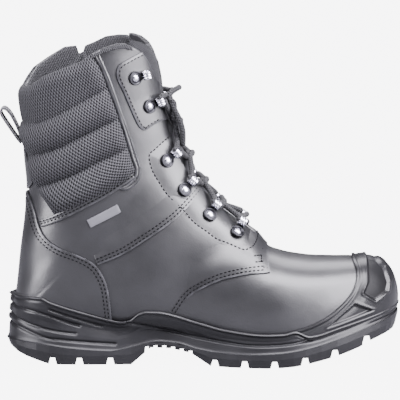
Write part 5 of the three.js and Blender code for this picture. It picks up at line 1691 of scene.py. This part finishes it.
def perimeter(columns):
    """Even stations round the sole: from the heel's middle along the lateral side to the toe and back."""
    dense = np.linspace(0, len(SOLE_PLAN) - 1, 1700)
    outer, _ = plan_edge(dense, np.zeros(len(dense), bool), np.zeros(len(dense)))
    inner, _ = plan_edge(dense, np.ones(len(dense), bool), np.zeros(len(dense)))
    loop = np.vstack([outer, inner[::-1]])
    places = np.concatenate([dense, dense[::-1]])
    medial = np.concatenate([np.zeros(len(dense), bool), np.ones(len(dense), bool)])
    run = run_along(loop)
    stations = np.linspace(0, run[-1], columns + 1)
    return np.interp(stations, run, places), np.interp(stations, run, medial.astype(float)) > 0.5


def cup_insets():
    """How far the cup's side stands in from the plan, round the sole and up its side."""
    place, medial = perimeter(COARSE_COLUMNS)
    table = np.zeros((COARSE_COLUMNS + 1, len(COARSE_LEVELS)))
    for k, level in enumerate(COARSE_LEVELS):
        inset = LEDGE_WIDTH + np.interp(level, [0, 0.4, 1], [0, 0.8 * MM, CUP_LEAN])
        limit = np.full(len(place), inset)
        near, far = np.full(len(place), -CUP_BULGE), limit

        def in_cup(trial, level=level):
            point, _ = plan_edge(place, medial, trial + CUP_WALL)
            x, y = point[:, 0], point[:, 1]
            z = ledge_z(x) + level * (edge_z(x) - ledge_z(x))
            reach = last_extent(x, z, medial)
            return np.where(medial, y < reach, y > reach) & ~np.isnan(reach)
        start = in_cup(limit)
        for _ in range(12):
            middle = (near + far) / 2
            within = in_cup(middle)
            near, far = np.where(within, near, middle), np.where(within, middle, far)
        table[:, k] = np.where(start, far, limit)
    for _ in range(3):
        table[1:-1] = 0.25 * table[:-2] + 0.5 * table[1:-1] + 0.25 * table[2:]
    return table


# The fin up the middle of the heel's rear
FIN_HALF_WIDTH = 5.5 * MM
FIN_HEIGHTS = np.array([29.0, 33.0, 52.0, 53.5]) * MM
FIN_DEPTHS = np.array([0.0, 1.2, 2.8, 0.0]) * MM


def make_midsole():
    columns, side_rows = 1000, 60
    rows = side_rows + 14
    table = cup_insets()
    place_at, medial_at = perimeter(columns)
    bm, u, v = grid(columns, rows)
    station = np.round(u * columns).astype(int)
    row = np.round(v * rows).astype(int)
    place, medial = place_at[station], medial_at[station]
    level = np.clip(row / side_rows, 0, 1)
    coarse = station / columns * COARSE_COLUMNS
    low = np.clip(np.floor(coarse).astype(int), 0, COARSE_COLUMNS - 1)
    mix = (coarse - low)[:, None]
    rows_of_table = table[low] * (1 - mix) + table[low + 1] * mix
    step = level * (len(COARSE_LEVELS) - 1)
    k = np.clip(np.floor(step).astype(int), 0, len(COARSE_LEVELS) - 2)
    t = step - k
    inset = rows_of_table[np.arange(len(k)), k] * (1 - t) + rows_of_table[np.arange(len(k)), k + 1] * t
    point, _ = plan_edge(place, medial, inset)
    x = point[:, 0]
    rise = edge_z(x) - ledge_z(x)
    z = ledge_z(x) - FOOT_OVERLAP + level * (rise + FOOT_OVERLAP)
    # Grooves pressed into the side, and a light bead along the top edge
    xz = np.column_stack([x, z])
    sunk = np.zeros(len(x))
    for line in SIDE_GROOVES:
        drawn = smooth_line(np.array(line) * [SOLE_LENGTH, SOLE_RISE], 8)
        distance, _ = line_distance(drawn, xz)
        sunk = np.maximum(sunk, SIDE_GROOVE_DEPTH * bell(distance, 0, SIDE_GROOVE_WIDTH))
    up_left = (1 - level) * rise
    bead = 1.0 * MM * bell(up_left, 1.2 * MM, 0.8 * MM)
    under_bead = 0.5 * MM * bell(up_left, 3.0 * MM, 0.8 * MM)
    foot = (LEDGE_WIDTH - 0.4 * MM) * np.exp(-level * rise / (1.0 * MM))
    off_middle = point[:, 1] - point[0, 1]
    fin = np.interp(z, FIN_HEIGHTS, FIN_DEPTHS) * np.exp(-(off_middle / FIN_HALF_WIDTH) ** 4)
    fin = fin * (x < 30 * MM)
    inset = inset + sunk - bead + under_bead - foot - fin
    # Over the top edge and down inside
    over = np.clip((row - side_rows) / (rows - side_rows), 0, 1)
    inset = inset + np.interp(over, [0, 0.2, 0.5, 1.0], [0, 1.6 * MM, 3.6 * MM, 9 * MM])
    z = z + np.interp(over, [0, 0.2, 0.5, 1.0], [0, 0.1 * MM, -1.5 * MM, -6 * MM])
    point, _ = plan_edge(place, medial, inset)
    set_points(bm, np.column_stack([point, z]))
    bmesh.ops.remove_doubles(bm, verts=bm.verts, dist=1e-5)
    bmesh.ops.recalc_face_normals(bm, faces=bm.faces)
    bm.normal_update()
    side_faces = [f for f in bm.faces if abs(f.normal.z) < 0.5]
    facing = sum(f.normal.y * f.calc_center_median().y for f in side_faces)
    if facing < 0:
        bmesh.ops.reverse_faces(bm, faces=bm.faces)
    finish_piece("sole_cup", bm, [SOLE_RUBBER], ["midsole"])


HEEL_LIP = 9 * MM  # the part of the rear lip that is drawn in
LIP_DRAW = 1.4 * MM


def make_outsole():
    """The tread block: the CAD node's form with its doubles merged and its edges rounded."""
    bm = bmesh.new()
    bm.from_mesh(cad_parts["outsole"].data)
    bmesh.ops.remove_doubles(bm, verts=bm.verts, dist=2e-5)
    bmesh.ops.dissolve_limit(bm, angle_limit=math.radians(2), verts=bm.verts, edges=bm.edges)
    for vertex in bm.verts:
        x = vertex.co.x + ORIGIN_X
        at_rim = vertex.co.z > float(ledge_z(x)) - 2 * MM
        if at_rim and x < HEEL_LIP:
            vertex.co.x += LIP_DRAW * (1 - x / HEEL_LIP)
    piece = finish_piece("outsole_lugs", bm, [SOLE_RUBBER], ["outsole"], smooth=False)
    rounding = round_edges(piece, 0.5 * MM, 28)
    rounding.harden_normals = True


BAR_TACKS = [np.array(line) * MM for line in [
    [[193.5, 84.6], [199.0, 84.6]], [[194.5, 80.2], [200.5, 80.2]], [[199.3, 84.8], [199.3, 79.8]],
]]


SEAM_STITCHES = 1.5 * MM  # heights of the stitches over the last
ANKLE_STITCHES = 1.3 * MM
CUFF_STITCHES = 1.7 * MM
STAY_STITCHES = 0.3 * MM
SEWN_WIDTH = 6 * MM  # how far from a seam its panel is still full
LAP_WIDTH = 30 * MM  # how far from the seam the quarter's lap has faded


def sewn_height(line):
    """How high the stitches of the eyestay lie where it runs over the quarter and under the ankle seam."""
    from_vamp, _ = line_distance(VAMP_SEAM, line)
    from_ankle, _ = line_distance(ANKLE_SEAM, line)
    over_quarter = 1.55 * MM * (1 - ramp(from_vamp, SEWN_WIDTH, LAP_WIDTH))
    return np.maximum(np.where(from_ankle < SEWN_WIDTH, SEAM_STITCHES, STAY_STITCHES), over_quarter)


VAMP_FRONT = np.array([[206.2, 75.0], [204.4, 90.0]]) * MM


def make_stitches():
    for medial, word, _ in SIDES:
        bm = bmesh.new()

        def row(line, distance, height, bm=bm, medial=medial):
            add_stitches(bm, offset_line(smooth_line(line, 8), distance), medial, height)
        for distance in (2.0 * MM, 4.6 * MM):
            row(COUNTER[1:12], -distance, HIGH + 0.4 * MM)
            row(VAMP_SEAM[3:], -distance, SEAM_STITCHES)
            add_stitches(bm, VAMP_FRONT + [-distance, 0], medial, SEAM_STITCHES)
            row(ANKLE_SEAM, distance, ANKLE_STITCHES)
        for distance in (2.4 * MM, 4.4 * MM):
            row(CUFF_SEAM, distance, CUFF_STITCHES)
        stay_line = offset_line(smooth_line(EYESTAY[:18], 8), 2.2 * MM)
        add_stitches(bm, stay_line, medial, sewn_height(stay_line))
        for tack in BAR_TACKS:
            add_stitches(bm, tack, medial, 1.6 * MM, 2.6 * MM)
        row(HOOK_PATCH[:14], 2.0 * MM, HIGH)
        row(PIPING_OUTER[1:10], -2.6 * MM, HIGH)
        finish_piece(f"stitches_{word}", bm, [THREAD])


def make_laps():
    """The lapped edges: the quarter over the vamp, the ankle seam and the cuff's seam strip."""
    seam = np.vstack([VAMP_SEAM[:3], smooth_line(VAMP_SEAM[2:], 8)[1:]])
    back = offset_line(smooth_line(VAMP_SEAM[3:], 8), -LAP_WIDTH)[::-1]
    outline = np.vstack([[[0.200, 0.115]], seam, back])

    def quarter_rise(rim, place, wrap):
        xz = side_view(place, wrap)
        distance, _ = line_distance(seam, xz)
        ahead = ramp(xz[..., 0] - seam[:, 0].min(), 0, LAP_WIDTH)
        faded = 1.5 * MM * (1 - ramp(distance, SEWN_WIDTH, LAP_WIDTH))
        hidden = 0.12 * MM + 0.25 * MM * (1 - ahead) ** 4
        return faded * ahead - hidden + crease_relief(xz) * ramp(np.abs(wrap), 0.15, 0.5)
    for medial, word, sign in SIDES:
        panel(f"quarter_lap_{word}", outline, (8.2, 16.0, sign * 0.0, sign * 1.95), 1.1 * MM, quarter_rise,
              thickness=1.2 * MM, extra_keep=both(beside_throat, above_cup))
        make_lap(f"ankle_lap_{word}", ANKLE_SEAM, 22 * MM, medial, 1.3 * MM)
        make_lap(f"cuff_seam_strip_{word}", CUFF_SEAM, 6.0 * MM, medial, 1.5 * MM, fading=False)


# The camera, lights and floor
def look_at(source, target):
    direction = Vector(target) - Vector(source)
    return direction.to_track_quat("-Z", "Y")


CAMERA_AIM = Vector((0.1042, 0.0, 0.1245))
CAMERA_DISTANCE = 3.4
CAMERA_RISE = math.radians(7.0)
FRAME_WIDTH = 0.3132
SENSOR = 36


def make_camera():
    data = bpy.data.cameras.new("photo_camera")
    data.sensor_width = SENSOR
    data.sensor_height = SENSOR
    data.sensor_fit = "HORIZONTAL"
    data.lens = SENSOR * CAMERA_DISTANCE / FRAME_WIDTH
    data.clip_end = 50
    camera = add_object("photo_camera", data)
    back = Vector((0, -math.cos(CAMERA_RISE), math.sin(CAMERA_RISE)))
    camera.location = CAMERA_AIM + CAMERA_DISTANCE * back
    camera.rotation_mode = "QUATERNION"
    camera.rotation_quaternion = look_at(camera.location, CAMERA_AIM)
    bpy.context.scene.camera = camera


LIGHT_COLOUR = (0.95, 0.93, 1.0)
LIT_POINT = (0.10, 0, 0.12)
LIGHTS = [  # name, place, width and height, watts
    ("panel_toe_side", (1.45, -0.84, 0.8), (1.5, 1.6), 180),
    ("panel_heel_side", (-1.35, -0.65, 0.6), (0.9, 1.6), 85),
    ("panel_above", (0.45, -0.75, 1.7), (1.8, 0.9), 140),
    ("panel_behind", (0.1, 1.1, 1.5), (1.8, 1.0), 45),
]


def make_light(name, location, size, power):
    data = bpy.data.lights.new(name, "AREA")
    data.shape = "RECTANGLE"
    data.size, data.size_y = size
    data.energy = power
    data.color = LIGHT_COLOUR
    light = add_object(name, data)
    light.location = location
    light.rotation_mode = "QUATERNION"
    light.rotation_quaternion = look_at(location, LIT_POINT)


FLOOR_GLOW = 9.0
FLOOR_BASE = (0.13, 0.13, 0.14, 1)
FLOOR_SEEN = (0.955, 0.95, 0.965, 1)
WORLD_COLOUR = (0.94, 0.95, 1.0, 1)
WORLD_LIGHT = 0.05


def make_studio():
    """A pale sweep that the camera sees evenly lit, side and top panels, and a dim surround."""
    bm = bmesh.new()
    bmesh.ops.create_grid(bm, x_segments=8, y_segments=8, size=6.0)
    mesh = mesh_from("studio_floor", bm)
    material, tree, shader = new_material("pale_floor", Roughness=0.9)
    shader.inputs["Base Color"].default_value = FLOOR_BASE
    glow = node(tree, "ShaderNodeEmission", {"Color": FLOOR_SEEN, "Strength": FLOOR_GLOW})
    seen = maths(tree, "MULTIPLY", node(tree, "ShaderNodeLightPath").outputs["Is Camera Ray"], 0.85)
    shaders = {0: seen, 1: shader.outputs["BSDF"], 2: glow.outputs["Emission"]}
    mixed = node(tree, "ShaderNodeMixShader", shaders)
    output = next(n for n in tree.nodes if n.type == "OUTPUT_MATERIAL")
    tree.links.new(mixed.outputs["Shader"], output.inputs["Surface"])
    mesh.materials.append(material)
    floor = add_object("studio_floor", mesh)
    world = bpy.data.worlds.new("studio_world")
    world.use_nodes = True
    background = next(n for n in world.node_tree.nodes if n.type == "BACKGROUND")
    background.inputs["Color"].default_value = WORLD_COLOUR
    background.inputs["Strength"].default_value = WORLD_LIGHT
    bpy.context.scene.world = world
    for light in LIGHTS:
        make_light(*light)


make_camera()
make_studio()
make_laces()
make_upper()
make_laps()
make_panels()
make_cuff()
make_collar_lining()
make_zip_rolls()
make_tongue()
make_toe_cap()
make_zip()
make_pull_loop()
make_stitches()
for on_medial, _, _ in SIDES:
    for eyelet_index in range(len(RIVETS)):
        make_eyelet(eyelet_index, on_medial)
make_midsole()
make_outsole()

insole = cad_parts["insole"]
insole.data.materials.clear()
insole.data.materials.append(FOAM)
